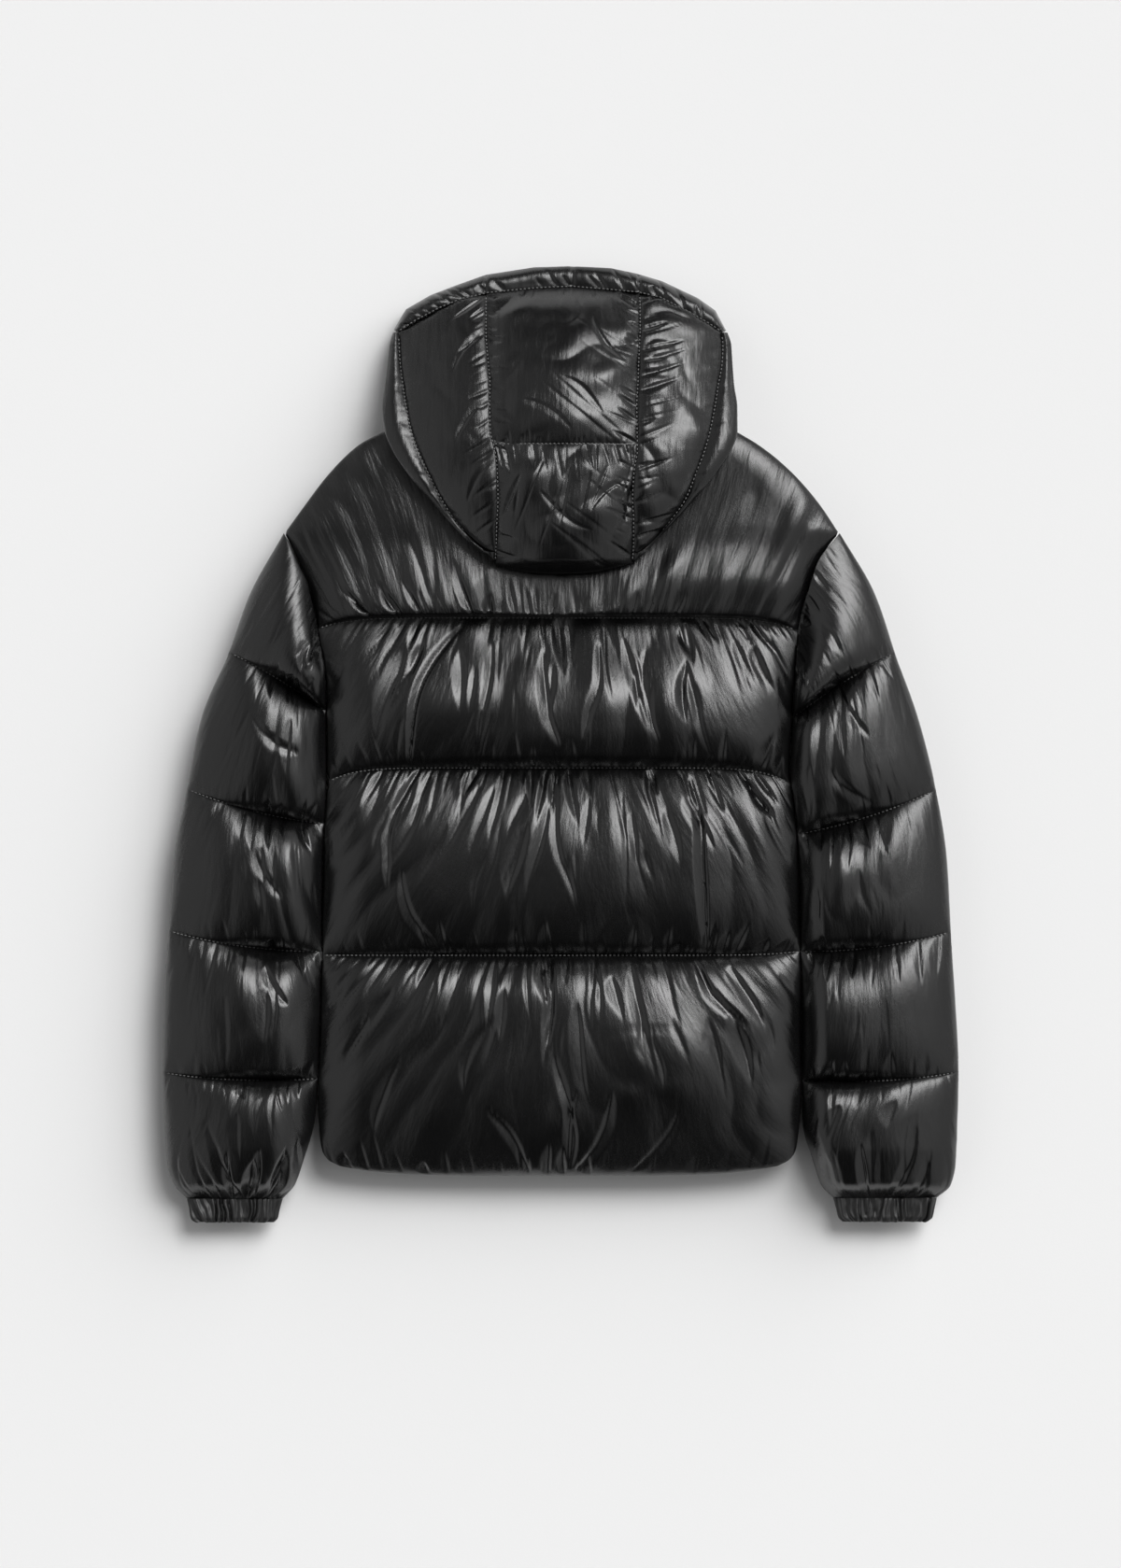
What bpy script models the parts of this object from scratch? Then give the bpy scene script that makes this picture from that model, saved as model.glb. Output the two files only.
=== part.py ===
"""Hooded puffer jacket, laid flat on its front with its back up.

X runs across the jacket, Y runs from the hem to the hood, and Z is up from the surface it lies on.
Every panel is a closed wall: an outer skin with the quilting raised in it over a plain inside. Sizes
are in millimetres and are scaled to metres when a mesh is made.
"""

import bmesh
import bpy
import numpy as np

# ---------------------------------------------------------------- driving sizes, mm
MM = 0.001
GAP = 0.3                    # between sewn pieces
SIDE_GAP = 0.9               # between the body and the sleeves that lie against it
SEAM_WALL = 3.0              # shell, fill and lining where they are sewn through
MID = 32.0                   # height at which the back lies on the fronts
BACK_LOFT = 34.0             # rise of a back baffle over its seams
SIDE_ROUND = 44.0            # how far in from a side seam the back is rounded
FRONT_ROUND = 34.0           # the same for the fronts underneath
NECK_Y = 300.0
SHOULDER_Y = 203.0           # the shoulder point, where the armhole seam starts
SHOULDER_ROW = 5             # its row in the body's outline
HEM_Y = -405.0
HEM_BOW = -9.0               # how far the middle of the hem hangs past its ends
GATHER_RISE = 3.0
GATHER_REACH = 16.0          # how far from a seam its gathers are highest
BACK_GATHERS = 9
GATHER_SKEW = 0.9            # how uneven the spacing of the gathers is
BAFFLE_LENGTH = 160.0        # from seam to seam on the back
SLEEVE_LOFT = 35.0
SLEEVE_FOLD = 30.0           # fill between a sleeve's outer fold and its lining
SLEEVE_GATHERS = 3
CUFF_MID = 22.0
CUFF_HALF = 5.0              # half the thickness of a gathered cuff
CUFF_EDGE = 1.2              # half the thickness of its folded sides
CUFF_RIB = 1.1
CUFF_RIBS = 32
PRESS = 50.0                 # height of the yoke where the hood lies on it
COLLAR = 22.0                # thickness of the hood's front, under its back
COLLAR_TOP = 385.0           # where the hood's front ends and its face opening starts
HOOD_EDGE = 70.0             # height of the hood's fold over the yoke
HOOD_RIM = 30.0              # height of the hood's fold where it lies on the surface
HOOD_SEAM_DIP = 4.0          # how deep the hood's seams lie in its dome
CROSS_SEAM = 286.0           # y of the seam across the centre panel
CENTRE_PUFF = 9.0
SIDE_PUFF = 7.0
EDGE_PUFF = 3.0
BRIM_FOLD = 12.0             # height of the brim's outer edge
BRIM_ROUND = 10.0
EDGE_ROUND = 16.0            # how far in the hood's fold is rounded underneath
EDGE_CURL = 18.0             # the same over the yoke
LENS_POWER = 3.0             # how full the hood's puffs are
ZIP_HALF = 4.2
ZIP_NOTCH = 5.0              # how far each side of the zip the cloth is tucked up
ZIP_TUCK = 4.0
ZIP_TOP = 366.0
ZIP_CHAIN_HALF = 2.9
ZIP_CHAIN_LOW = 0.5
ZIP_CHAIN_HIGH = 3.4
SLIDER_LOW = 0.4
SLIDER_HIGH = 3.8
SLIDER_LENGTH = 12.0
SLIDER_EDGE = 0.6

# Half of the body's outline, from the neck down the shoulder, armhole and side seam.
# y, left edge, right edge
BODY_OUTLINE = (
    (300.0, -171.0, 169.5),
    (289.0, -192.0, 188.0),
    (274.0, -209.5, 208.0),
    (254.0, -227.5, 229.0),
    (230.0, -245.5, 249.0),
    (203.0, -265.0, 267.0),
    (176.0, -252.0, 246.5),
    (151.0, -241.3, 237.8),
    (111.0, -232.5, 227.5),
    (56.0, -225.0, 223.7),
    (-24.0, -224.6, 219.8),
    (-36.0, -222.4, 219.8),
    (-48.0, -225.0, 223.0),
    (-85.0, -227.0, 226.4),
    (-182.0, -229.2, 230.2),
    (-202.0, -228.4, 229.6),
    (-222.0, -229.8, 230.8),
    (-272.0, -230.6, 231.0),
    (-340.0, -233.0, 231.0),
    (-376.0, -231.5, 227.0),
    (-405.0, -226.5, 220.8),
)

# The quilting seams of the back: y at the middle, and how far the two ends lie below that.
# middle, drop of the left end, drop of the right end
BACK_SEAMS = (
    (121.5, 10.5, 13.0),
    (-22.5, 13.0, 15.0),
    (-202.5, 0.0, -4.0),
)

# Where the plan of a sleeve's edges lies, station by station: 0 is the armhole, 1 to 4 are the
# quilting seams and 5 is the cuff. The bow is how far the line between the edges sags.
# station, inner x, inner y, outer x, outer y, bow
SLEEVE_LEFT = (
    (0.0, -225.6, 56.0, -265.6, 203.0, 0.0),
    (0.5, -225.6, 44.0, -297.5, 146.0, 3.0),
    (1.0, -225.6, 32.0, -318.6, 88.5, 3.0),
    (1.5, -225.2, -22.0, -345.5, 24.0, -2.0),
    (2.0, -226.9, -76.0, -358.6, -43.0, -5.0),
    (2.5, -228.9, -137.0, -371.2, -110.0, -5.0),
    (3.0, -229.2, -199.0, -376.2, -179.0, -5.0),
    (3.5, -231.2, -260.0, -381.2, -247.0, -4.0),
    (4.0, -233.2, -321.0, -382.0, -315.0, -4.0),
    (4.4, -236.5, -362.0, -380.4, -364.0, 0.0),
    (4.75, -248.0, -402.0, -377.6, -404.0, 0.0),
    (4.9, -256.0, -424.0, -370.5, -424.5, 0.0),
    (5.0, -267.2, -436.6, -360.0, -436.6, 0.0),
)
SLEEVE_RIGHT = (
    (0.0, 224.4, 56.0, 267.7, 203.0, 0.0),
    (0.5, 223.4, 41.0, 301.5, 145.0, 3.0),
    (1.0, 222.8, 26.0, 320.8, 88.0, 3.0),
    (1.5, 220.8, -30.0, 343.5, 24.0, -2.0),
    (2.0, 227.2, -86.0, 360.2, -43.5, -5.0),
    (2.5, 229.4, -142.0, 371.0, -112.0, -5.0),
    (3.0, 230.4, -199.0, 374.6, -180.0, -5.0),
    (3.5, 231.6, -260.0, 378.8, -247.0, -4.0),
    (4.0, 231.8, -323.0, 382.0, -314.5, -4.0),
    (4.4, 232.6, -364.0, 381.0, -364.0, 0.0),
    (4.75, 243.0, -402.0, 379.4, -404.0, 0.0),
    (4.9, 250.6, -424.0, 374.6, -424.5, 0.0),
    (5.0, 261.8, -435.8, 362.0, -435.8, 0.0),
)

# How thick a sleeve is along its length: the height of its middle, the rise over that at the
# quilting seams' height, and how far its underside is clear of the surface.
# station, middle, top rise, clearance
SLEEVE_HEIGHTS = (
    (0.0, 32.0, 1.0, 0.0),
    (4.0, 32.0, 1.0, 0.0),
    (4.6, 30.0, 0.95, 0.0),
    (4.85, 26.0, 0.72, 3.0),
    (5.0, 22.0, 0.0, 16.0),
)

# A cuff's edges, from the sleeve to its end.
# y, inner edge, outer edge
CUFF_LEFT = (
    (-437.0, -267.4, -359.8),
    (-448.0, -270.4, -357.4),
    (-456.0, -272.2, -355.6),
    (-459.6, -276.0, -351.0),
)
CUFF_RIGHT = (
    (-436.2, 262.0, 361.8),
    (-447.0, 265.0, 359.6),
    (-455.0, 267.0, 357.8),
    (-459.2, 271.0, 353.0),
)

# The hood's outline, its curved outer seams and the two seams of its centre panel, row by row.
# y, left edge, left outer seam, left centre seam, right centre seam, right outer seam, right edge
HOOD_LINES = (
    (172.0, -60.5, -61.0, -62.3, 68.0, 69.5, 68.5),
    (178.0, -68.5, -62.8, -62.3, 68.6, 69.4, 75.5),
    (192.0, -87.0, -79.4, -61.6, 69.4, 86.0, 88.5),
    (210.0, -104.6, -98.0, -61.0, 69.4, 102.0, 106.5),
    (234.0, -126.2, -114.0, -59.8, 68.4, 119.0, 128.0),
    (261.0, -148.7, -127.6, -60.6, 69.8, 130.0, 150.0),
    (281.0, -161.3, -136.5, -63.0, 73.0, 137.5, 163.0),
    (300.0, -168.6, -143.0, -67.4, 72.6, 142.8, 169.2),
    (323.0, -171.2, -147.8, -67.8, 72.4, 147.4, 169.2),
    (345.0, -168.5, -151.4, -67.7, 73.6, 151.0, 166.3),
    (365.0, -166.4, -154.1, -69.4, 74.4, 154.6, 165.0),
    (385.0, -164.2, -155.4, -71.2, 75.4, 155.6, 163.8),
    (396.0, -161.5, -156.0, -71.8, 76.0, 154.4, 160.5),
)

# The brim's outer edge and its seam.
# outer x, outer y, seam x, seam y
BRIM_LINES = (
    (-160.8, 400.0, -155.6, 397.6),
    (-149.0, 419.5, -140.0, 407.5),
    (-126.0, 433.0, -119.0, 418.6),
    (-104.6, 441.3, -97.0, 428.2),
    (-72.2, 453.0, -70.5, 434.6),
    (-25.4, 460.2, -25.4, 439.5),
    (7.0, 461.1, 11.5, 441.2),
    (48.4, 459.3, 48.4, 437.8),
    (73.6, 454.0, 74.0, 435.2),
    (97.9, 446.7, 95.0, 430.2),
    (132.1, 430.5, 125.0, 414.8),
    (149.0, 418.5, 143.0, 404.4),
    (159.4, 399.0, 154.2, 397.2),
)

# The hood's height along its middle, front to back.
# y, height
HOOD_MIDDLE = (
    (163.0, 72.0),
    (168.0, 80.0),
    (178.0, 88.0),
    (195.0, 95.0),
    (220.0, 99.0),
    (250.0, 100.0),
    (286.0, 96.0),
    (330.0, 86.0),
    (370.0, 72.0),
    (400.0, 57.0),
    (425.0, 40.0),
    (441.0, 25.0),
)

# Rows shared by every hood panel, so that their seams follow one line. The pairs 0.3 to 2 apart
# are where the hood steps off the yoke, and off its own front.
HOOD_ROWS = (
    164.0, 167.0, 171.0, 176.0, 180.0, 183.6, 184.0, 192.0, 203.0, 218.0, 236.0, 256.0, 274.0,
    283.0, 286.0, 289.0, 300.4, 302.4, 304.4, 318.0, 336.0, 354.0, 370.0, 383.0, 384.6, 386.4,
    396.0, 404.0, 412.0, 420.0, 428.0, 433.0, 437.0,
)
SIDE_END = 184.0             # where a hood side panel runs out at its lower tip
SIDE_TOP = 432.0
EDGE_START = 176.0           # lower tip of a hood edge band
EDGE_TOP = 396.0             # where a hood edge band meets the brim
HOOD_TOP = 437.0
HOOD_BOTTOM = 164.0
HOOD_FOOT = 163.0            # the lowest point of the fold over the yoke


# ---------------------------------------------------------------- shapes
def column(table, number):
    """One column of a table as an array."""
    return np.array([row[number] for row in table])


def rounded(distance, reach):
    """A quarter circle's rise, from 0 at an edge to 1 at the reach."""
    near = np.clip(distance / reach, 0.0, 1.0)
    return np.sqrt(1.0 - (1.0 - near) ** 2)


def lens(t, power=2.3):
    """A baffle's height between two seams: 0 at both, 1 in the middle."""
    return (1.0 - np.abs(2.0 * t - 1.0) ** power) ** (1.0 / 1.6)


def smooth_step(t):
    """An even S from 0 to 1."""
    t = np.clip(t, 0.0, 1.0)
    return t * t * (3.0 - 2.0 * t)


def by_row(table, key, number):
    """A column of a table as a smooth function of its first column.

    A cubic runs between each two rows. Its slope at a row is the harmonic mean of the slopes on
    both sides, or zero where they turn, so that the curve never overshoots a row.
    """
    keys = column(table, 0)
    order = np.argsort(keys)
    keys, values = keys[order], column(table, number)[order]
    steps = np.diff(keys)
    slopes = np.diff(values) / steps
    tangents = np.concatenate([slopes[:1], np.zeros(len(keys) - 2), slopes[-1:]])
    same = slopes[:-1] * slopes[1:] > 0.0
    mean = 2.0 * slopes[:-1] * slopes[1:] / np.where(same, slopes[:-1] + slopes[1:], 1.0)
    tangents[1:-1] = np.where(same, mean, 0.0)
    key = np.clip(key, keys[0], keys[-1])
    k = np.clip(np.searchsorted(keys, key) - 1, 0, len(steps) - 1)
    t = (key - keys[k]) / steps[k]
    rise = values[k + 1] - values[k]
    start, end = steps[k] * tangents[k], steps[k] * tangents[k + 1]
    return values[k] + t * (start + t * (3.0 * rise - 2.0 * start - end + t * (start + end - 2.0 * rise)))


def body_edge(y, side):
    """x of the body's edge: the shoulder down to its point, then the armhole and side seam."""
    above = BODY_OUTLINE[:SHOULDER_ROW + 1]
    below = BODY_OUTLINE[SHOULDER_ROW:]
    number = 1 if side < 0 else 2
    return np.where(y > SHOULDER_Y, by_row(above, y, number), by_row(below, y, number))


def gathers(along, count, distance):
    """Ridges that a gathered seam raises beside it, highest a little way off it."""
    wave = np.cos(2.0 * np.pi * count * along + GATHER_SKEW * np.sin(5.0 * along))
    reach = np.abs(distance) / GATHER_REACH
    return GATHER_RISE * wave * reach * np.exp(1.0 - reach)


# ---------------------------------------------------------------- meshes
def zip_loops(outer_loop, inner_loop):
    """Triangles between two closed loops, each a list of (place round the loop, vertex)."""
    faces = []
    i = j = 0
    count_i, count_j = len(outer_loop), len(inner_loop)
    while i < count_i or j < count_j:
        a = outer_loop[i % count_i][1]
        b = inner_loop[j % count_j][1]
        next_i = outer_loop[i + 1][0] if i + 1 < count_i else 4.0
        next_j = inner_loop[j + 1][0] if j + 1 < count_j else 4.0
        if j >= count_j or (i < count_i and next_i <= next_j):
            faces.append((a, outer_loop[(i + 1) % count_i][1], b))
            i += 1
        else:
            faces.append((a, inner_loop[(j + 1) % count_j][1], b))
            j += 1
    return faces


def border(index, us, vs):
    """The border of a grid as (place, vertex), once round: along u, up v, back and down."""
    last_u, last_v = len(us) - 1, len(vs) - 1
    loop = [(us[i], index[0][i]) for i in range(last_u)]
    loop += [(1.0 + vs[j], index[j][last_u]) for j in range(last_v)]
    loop += [(3.0 - us[i], index[last_v][i]) for i in range(last_u, 0, -1)]
    loop += [(4.0 - vs[j], index[j][0]) for j in range(last_v, 0, -1)]
    return loop


def wall(name, outer, inner, us, vs, inner_us, inner_vs):
    """A closed panel between an outer skin on a fine grid and a plain inside on a coarse one.

    outer and inner give points in mm for arrays of u and v. The rim joins the two skins along the
    fine grid's border, and a ring of triangles carries that border to the coarse grid.
    """
    us, vs = np.asarray(us, float), np.asarray(vs, float)
    inner_us, inner_vs = np.asarray(inner_us, float), np.asarray(inner_vs, float)
    mesh_points = []

    def add_grid(shape, grid_u, grid_v):
        u, v = np.meshgrid(grid_u, grid_v)
        start = len(mesh_points)
        mesh_points.extend(np.stack(shape(u, v), axis=-1).reshape(-1, 3) * MM)
        return np.arange(start, start + u.size).reshape(u.shape)

    skin = add_grid(outer, us, vs)
    plain = add_grid(inner, inner_us, inner_vs)
    skin_loop = border(skin, us, vs)
    rim_places = [(us[i], vs[j]) for i, j in border_cells(len(us), len(vs))]
    rim_u = np.array([place[0] for place in rim_places])
    rim_v = np.array([place[1] for place in rim_places])
    start = len(mesh_points)
    mesh_points.extend(np.stack(inner(rim_u, rim_v), axis=-1) * MM)
    rim = [start + k for k in range(len(rim_places))]

    faces = []
    for grid in (skin, plain):
        corners = np.stack([grid[:-1, :-1], grid[:-1, 1:], grid[1:, 1:], grid[1:, :-1]], axis=-1)
        faces.extend(corners.reshape(-1, 4).tolist())
    count = len(rim)
    for k in range(count):
        follow = (k + 1) % count
        faces.append((skin_loop[k][1], skin_loop[follow][1], rim[follow], rim[k]))
    rim_loop = [(skin_loop[k][0], rim[k]) for k in range(count)]
    spread = (inner_us - inner_us[0]) / (inner_us[-1] - inner_us[0])
    climb = (inner_vs - inner_vs[0]) / (inner_vs[-1] - inner_vs[0])
    exact_u, exact_v = inner_us.copy(), inner_vs.copy()
    exact_u[0], exact_u[-1] = spread[0], spread[-1]
    exact_v[0], exact_v[-1] = climb[0], climb[-1]
    faces.extend(zip_loops(rim_loop, border(plain, exact_u, exact_v)))
    return solid(name, mesh_points, faces)


def border_cells(count_u, count_v):
    """Grid places round the border in the order that border() uses."""
    cells = [(i, 0) for i in range(count_u - 1)]
    cells += [(count_u - 1, j) for j in range(count_v - 1)]
    cells += [(i, count_v - 1) for i in range(count_u - 1, 0, -1)]
    cells += [(0, j) for j in range(count_v - 1, 0, -1)]
    return cells


def solid(name, points, faces):
    """One closed object from points in metres, with its faces turned outward."""
    mesh = bpy.data.meshes.new(name)
    bm = bmesh.new()
    vertices = [bm.verts.new(point) for point in points]
    for face in faces:
        bm.faces.new([vertices[k] for k in face])
    bmesh.ops.triangulate(bm, faces=bm.faces[:])
    bmesh.ops.recalc_face_normals(bm, faces=bm.faces[:])
    bm.to_mesh(mesh)
    bm.free()
    mesh.shade_smooth()
    mesh.set_sharp_from_angle(angle=0.9)
    item = bpy.data.objects.new(name, mesh)
    return item


def spaced(edge, middle, count):
    """Places from 0 to 1: close together at both ends, as edge says, and even in the middle."""
    inside = np.linspace(middle, 1.0 - middle, count)
    return np.array(list(edge) + list(inside) + [1.0 - place for place in reversed(edge)])


# ---------------------------------------------------------------- back and fronts
def seam_height(seam, u):
    """The y of a back seam, whose last stretch bends down towards each side."""
    middle, left_drop, right_drop = seam
    lean = np.where(u < 0.5, left_drop, right_drop)
    return middle - lean * np.abs(2.0 * u - 1.0) ** 9


def body_lines(u):
    """The y of the neck, the three quilting seams and the hem at each u."""
    hem = HEM_Y + HEM_BOW * (1.0 - np.abs(2.0 * u - 1.0) ** 5)
    return [NECK_Y + 0.0 * u] + [seam_height(seam, u) for seam in BACK_SEAMS] + [hem]


def body_plan(u, v):
    """Plan of the back: v counts baffles, from 0 at the neck to 4 at the hem."""
    def y_at(place):
        lines = body_lines(place)
        y = np.zeros(np.broadcast(u, v).shape)
        for k in range(4):
            share = np.clip(v - k, 0.0, 1.0)
            part = lines[k] + (lines[k + 1] - lines[k]) * share
            y = np.where((v >= k) & (v <= k + 1), part, y)
        return y

    left = body_edge(y_at(0.0 * u), -1)
    right = body_edge(y_at(0.0 * u + 1.0), 1)
    return left + (right - left) * u, y_at(u), right - left


def body_rows():
    """Rows of the back and the fronts, neck to hem, so that their edges are one line."""
    rows = [0.0, 0.12, 0.26, 0.4, 0.5133, 0.62, 0.74, 0.86, 0.95]
    for k in (1, 2, 3):
        rows += [k + step for step in (0.0, 0.05, 0.13, 0.27, 0.48, 0.7, 0.87, 0.95)]
    return np.array(rows + [4.0]) / 4.0


def hood_press(x, y):
    """The greatest height of the yoke near the hood that lies on it."""
    across, down = x, y - NECK_Y
    radius = np.hypot(across, down)
    lean = np.abs(across) / np.maximum(radius, 1.0)
    outside = radius - (142.0 + 27.0 * lean**18)
    return np.where(down > -1.0, PRESS, PRESS + 22.0 * smooth_step((outside - 5.0) / 50.0))


def back_outer(u, v):
    """Outer skin of the back: four baffles between seams sewn down to the lining."""
    x, y, width = body_plan(u, v)
    share = v - np.clip(np.floor(v), 0, 3)
    baffle = np.where(v < 1.0, lens(0.5 + 0.5 * np.clip(v, 0, 1)), lens(share))
    edge = np.minimum(u, 1.0 - u) * width
    rise = BACK_LOFT * baffle * rounded(edge, SIDE_ROUND)
    near = BAFFLE_LENGTH * np.where(v < 1.0, 1.0 - share, np.minimum(share, 1.0 - share))
    fold = gathers(u + 0.03 * np.floor(v), BACK_GATHERS, near) * rounded(edge, SIDE_ROUND)
    z = MID + GAP + SEAM_WALL + rise + fold * (near > 0.5)
    return x, y, np.minimum(z, hood_press(x, y))


def back_inner(u, v):
    """The back's plain inside, flat on the fronts."""
    x, y, _ = body_plan(u, v)
    return x, y, 0.0 * x + MID + GAP


def make_back():
    """One panel from the neck to the hem."""
    us = spaced((0.0, 0.008, 0.024, 0.05), 0.085, 37)
    return wall(
        "back", lambda u, v: back_outer(u, 4.0 * v), lambda u, v: back_inner(u, 4.0 * v),
        us, body_rows(), (0.04, 0.35, 0.65, 0.96), (0.04, 0.25, 0.5, 0.75, 0.96))


def front_plan(u, v, side):
    """Plan of a front: u from the side seam to the zip, v from the hem to the neck."""
    row = 4.0 * (1.0 - v)
    share = 0.0 * u if side < 0 else 0.0 * u + 1.0
    edge_x, y, _ = body_plan(share, row)
    _, middle_y, _ = body_plan(0.0 * u + 0.5, row)
    return edge_x, y + (middle_y - y) * u


def front_outer(u, v, side):
    """Outer skin of a front: flat where it lies, rounded up to the side, shoulder and hem."""
    edge_x, y = front_plan(u, v, side)
    centre = side * (GAP + 0.0 * u)
    flat = np.clip(u / 0.9, 0.0, 1.0)
    x = edge_x + (side * ZIP_NOTCH - edge_x) * flat
    armhole = (y > 58.0) & (y < 206.0)
    reach = np.where(armhole, 2.0, FRONT_ROUND)
    hem = rounded(y - HEM_Y - HEM_BOW * u, FRONT_ROUND)
    depth = MID - SEAM_WALL
    z = depth * (1.0 - rounded(np.abs(x - edge_x), reach) * hem)
    step = np.clip((u - 0.9) / 0.05, 0.0, 1.0)
    tuck = np.clip((u - 0.95) / 0.05, 0.0, 1.0)
    z = np.maximum(z, 0.0) + np.where(z < ZIP_TUCK, ZIP_TUCK * (step + tuck), 0.2 * tuck)
    x = x + (centre - x) * tuck
    return x, y, z


def front_inner(u, v, side):
    """A front's plain inside, just under the back's."""
    edge_x, y = front_plan(u, v, side)
    return edge_x + (side * GAP - edge_x) * u, y, 0.0 * y + MID - GAP


def make_front(name, side):
    """One front, from the side seam to the zip, under the back."""
    us = (0.0, 0.02, 0.06, 0.12, 0.2, 0.5, 0.9, 0.95, 1.0)
    return wall(
        name, lambda u, v: front_outer(u, v, side), lambda u, v: front_inner(u, v, side),
        us, 1.0 - body_rows()[::-1], (0.06, 0.5, 0.94), (0.03, 0.35, 0.7, 0.97))


# ---------------------------------------------------------------- sleeves and cuffs
def sleeve_plan(table, side, t, station):
    """Plan of a sleeve: t runs from the body side to the outer fold, station from 0 to 5."""
    inner_x, inner_y, outer_x, outer_y, bow = [by_row(table, station, k) for k in range(1, 6)]
    x = inner_x + (outer_x - inner_x) * t
    y = inner_y + (outer_y - inner_y) * t + bow * 4.0 * t * (1.0 - t)
    first, last = table[0][2], table[0][4]
    arm_y = first + (last - first) * t
    arm_x = body_edge(arm_y, side) + side * SIDE_GAP
    straight = table[0][1] + (table[0][3] - table[0][1]) * t
    fade = np.clip(1.0 - station, 0.0, 1.0)
    x = x + (arm_x - straight) * fade
    body_x = body_edge(np.minimum(y, SHOULDER_Y), side) + side * SIDE_GAP
    return side * np.maximum(side * x, side * body_x), y, np.abs(outer_x - inner_x)


def sleeve_outer(table, side, u, v):
    """Outer skin of a sleeve, round from its underarm seam under, over the fold and back."""
    station = 5.0 * v
    under = u < 0.4
    t = np.where(under, u / 0.4, (1.0 - u) / 0.6)
    x, y, _ = sleeve_plan(table, side, t, station)
    middle, top, clear = [by_row(SLEEVE_HEIGHTS, station, k) for k in (1, 2, 3)]
    share = station - np.clip(np.floor(station), 0, 4)
    last = station > 4.0
    baffle = np.where(last, lens(0.5 * np.clip(share, 0.0, 1.0)), lens(share))
    edge = np.minimum(t, 1.0 - t)
    across = (1.0 - np.abs(2.0 * t - 1.0) ** 2.6) ** (1.0 / 2.1)
    near = np.minimum(share, np.where(last, share, 1.0 - share)) * 125.0
    fold = gathers(t + 0.07 * np.floor(station), SLEEVE_GATHERS, near) * across * (edge > 0.02)
    lift = CUFF_HALF * (1.0 - top) * across
    skin = SEAM_WALL * (0.4 + 0.6 * top)
    upper = middle + skin + (SLEEVE_LOFT * baffle * across + fold) * top + lift
    sole = np.minimum(1.0, 1.04 * (1.0 - np.abs(2.0 * t - 1.0) ** 4.0) ** (1.0 / 2.0))
    lower = middle - skin - (middle - skin - clear) * sole
    return x, y, np.where(under, np.maximum(lower, clear), upper)


def sleeve_inner(table, side, u, v):
    """The sleeve's plain inside: two layers lying on each other, joined near the fold."""
    station = 5.0 * v
    _, _, width = sleeve_plan(table, side, 0.0 * u, station)
    fold = SLEEVE_FOLD * (0.4 + 0.6 * by_row(SLEEVE_HEIGHTS, station, 2))
    end = 1.0 - fold / width
    t = end * np.where(u < 0.4, np.clip(u / 0.36, 0.0, 1.0), np.clip((1.0 - u) / 0.56, 0.0, 1.0))
    x, y, _ = sleeve_plan(table, side, t, station)
    middle = by_row(SLEEVE_HEIGHTS, station, 1)
    return x, y, middle + GAP * np.clip((u - 0.4) / 0.04, -1.0, 1.0)


def make_sleeve(name, table, side):
    """One panel folded round, from the armhole to the cuff."""
    under = [0.0, 0.012, 0.035, 0.075, 0.2, 0.325, 0.365, 0.385]
    over = [0.4, 0.418, 0.445, 0.485, 0.53, 0.58, 0.63, 0.68, 0.73, 0.78, 0.83, 0.88, 0.925, 0.96, 0.985, 1.0]
    rows = []
    for k in range(4):
        rows += [k + step for step in (0.0, 0.07, 0.18, 0.5, 0.82, 0.93)]
    rows += [4.0, 4.07, 4.2, 4.4, 4.6, 4.75, 4.85, 4.93, 5.0]
    vs = np.array(rows) / 5.0
    inner_vs = (0.03, 0.2, 0.4, 0.6, 0.8, 0.92, 0.97, 0.988)
    return wall(
        name, lambda u, v: sleeve_outer(table, side, u, v), lambda u, v: sleeve_inner(table, side, u, v),
        under + over, vs, (0.02, 0.36, 0.44, 0.98), inner_vs)


def cuff_plan(table, t, v):
    """Plan of a cuff: v from the sleeve to its open end."""
    y = table[0][0] + (table[-1][0] - table[0][0]) * v
    inner_x = by_row(table, y, 1)
    outer_x = by_row(table, y, 2)
    return inner_x + (outer_x - inner_x) * t, y


def cuff_outer(table, u, v):
    """Outer skin of a cuff, with the ribs that its elastic gathers."""
    under = u < 0.5
    t = np.where(under, 2.0 * u, 2.0 - 2.0 * u)
    x, y = cuff_plan(table, t, v)
    half = CUFF_EDGE + (CUFF_HALF - CUFF_EDGE) * (1.0 - np.abs(2.0 * t - 1.0) ** 6) ** 0.5
    rib = CUFF_RIB * np.cos(2.0 * np.pi * CUFF_RIBS * u) * (half > 2.0)
    thick = (half + rib) * (1.0 - 0.35 * smooth_step((v - 0.8) / 0.2))
    return x, y, CUFF_MID + np.where(under, -thick, thick)


def cuff_inner(table, u, v):
    """The cuff's plain inside: two layers lying on each other."""
    t = 0.95 * np.where(u < 0.5, np.clip(u / 0.47, 0.0, 1.0), np.clip((1.0 - u) / 0.47, 0.0, 1.0))
    x, y = cuff_plan(table, t, v)
    return x, y, CUFF_MID + GAP * np.clip((u - 0.5) / 0.03, -1.0, 1.0)


def make_cuff(name, table):
    """A gathered elastic band, folded round, with its seam at the body side."""
    us = np.linspace(0.0, 1.0, 2 * CUFF_RIBS + 1)
    return wall(
        name, lambda u, v: cuff_outer(table, u, v), lambda u, v: cuff_inner(table, u, v),
        us, (0.0, 0.5, 0.8, 1.0), (0.02, 0.47, 0.53, 0.98), (0.15, 0.85))


# ---------------------------------------------------------------- hood
def hood_line(y, number):
    """x of one of the hood's lines at each y."""
    return by_row(HOOD_LINES, y, number)


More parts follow.
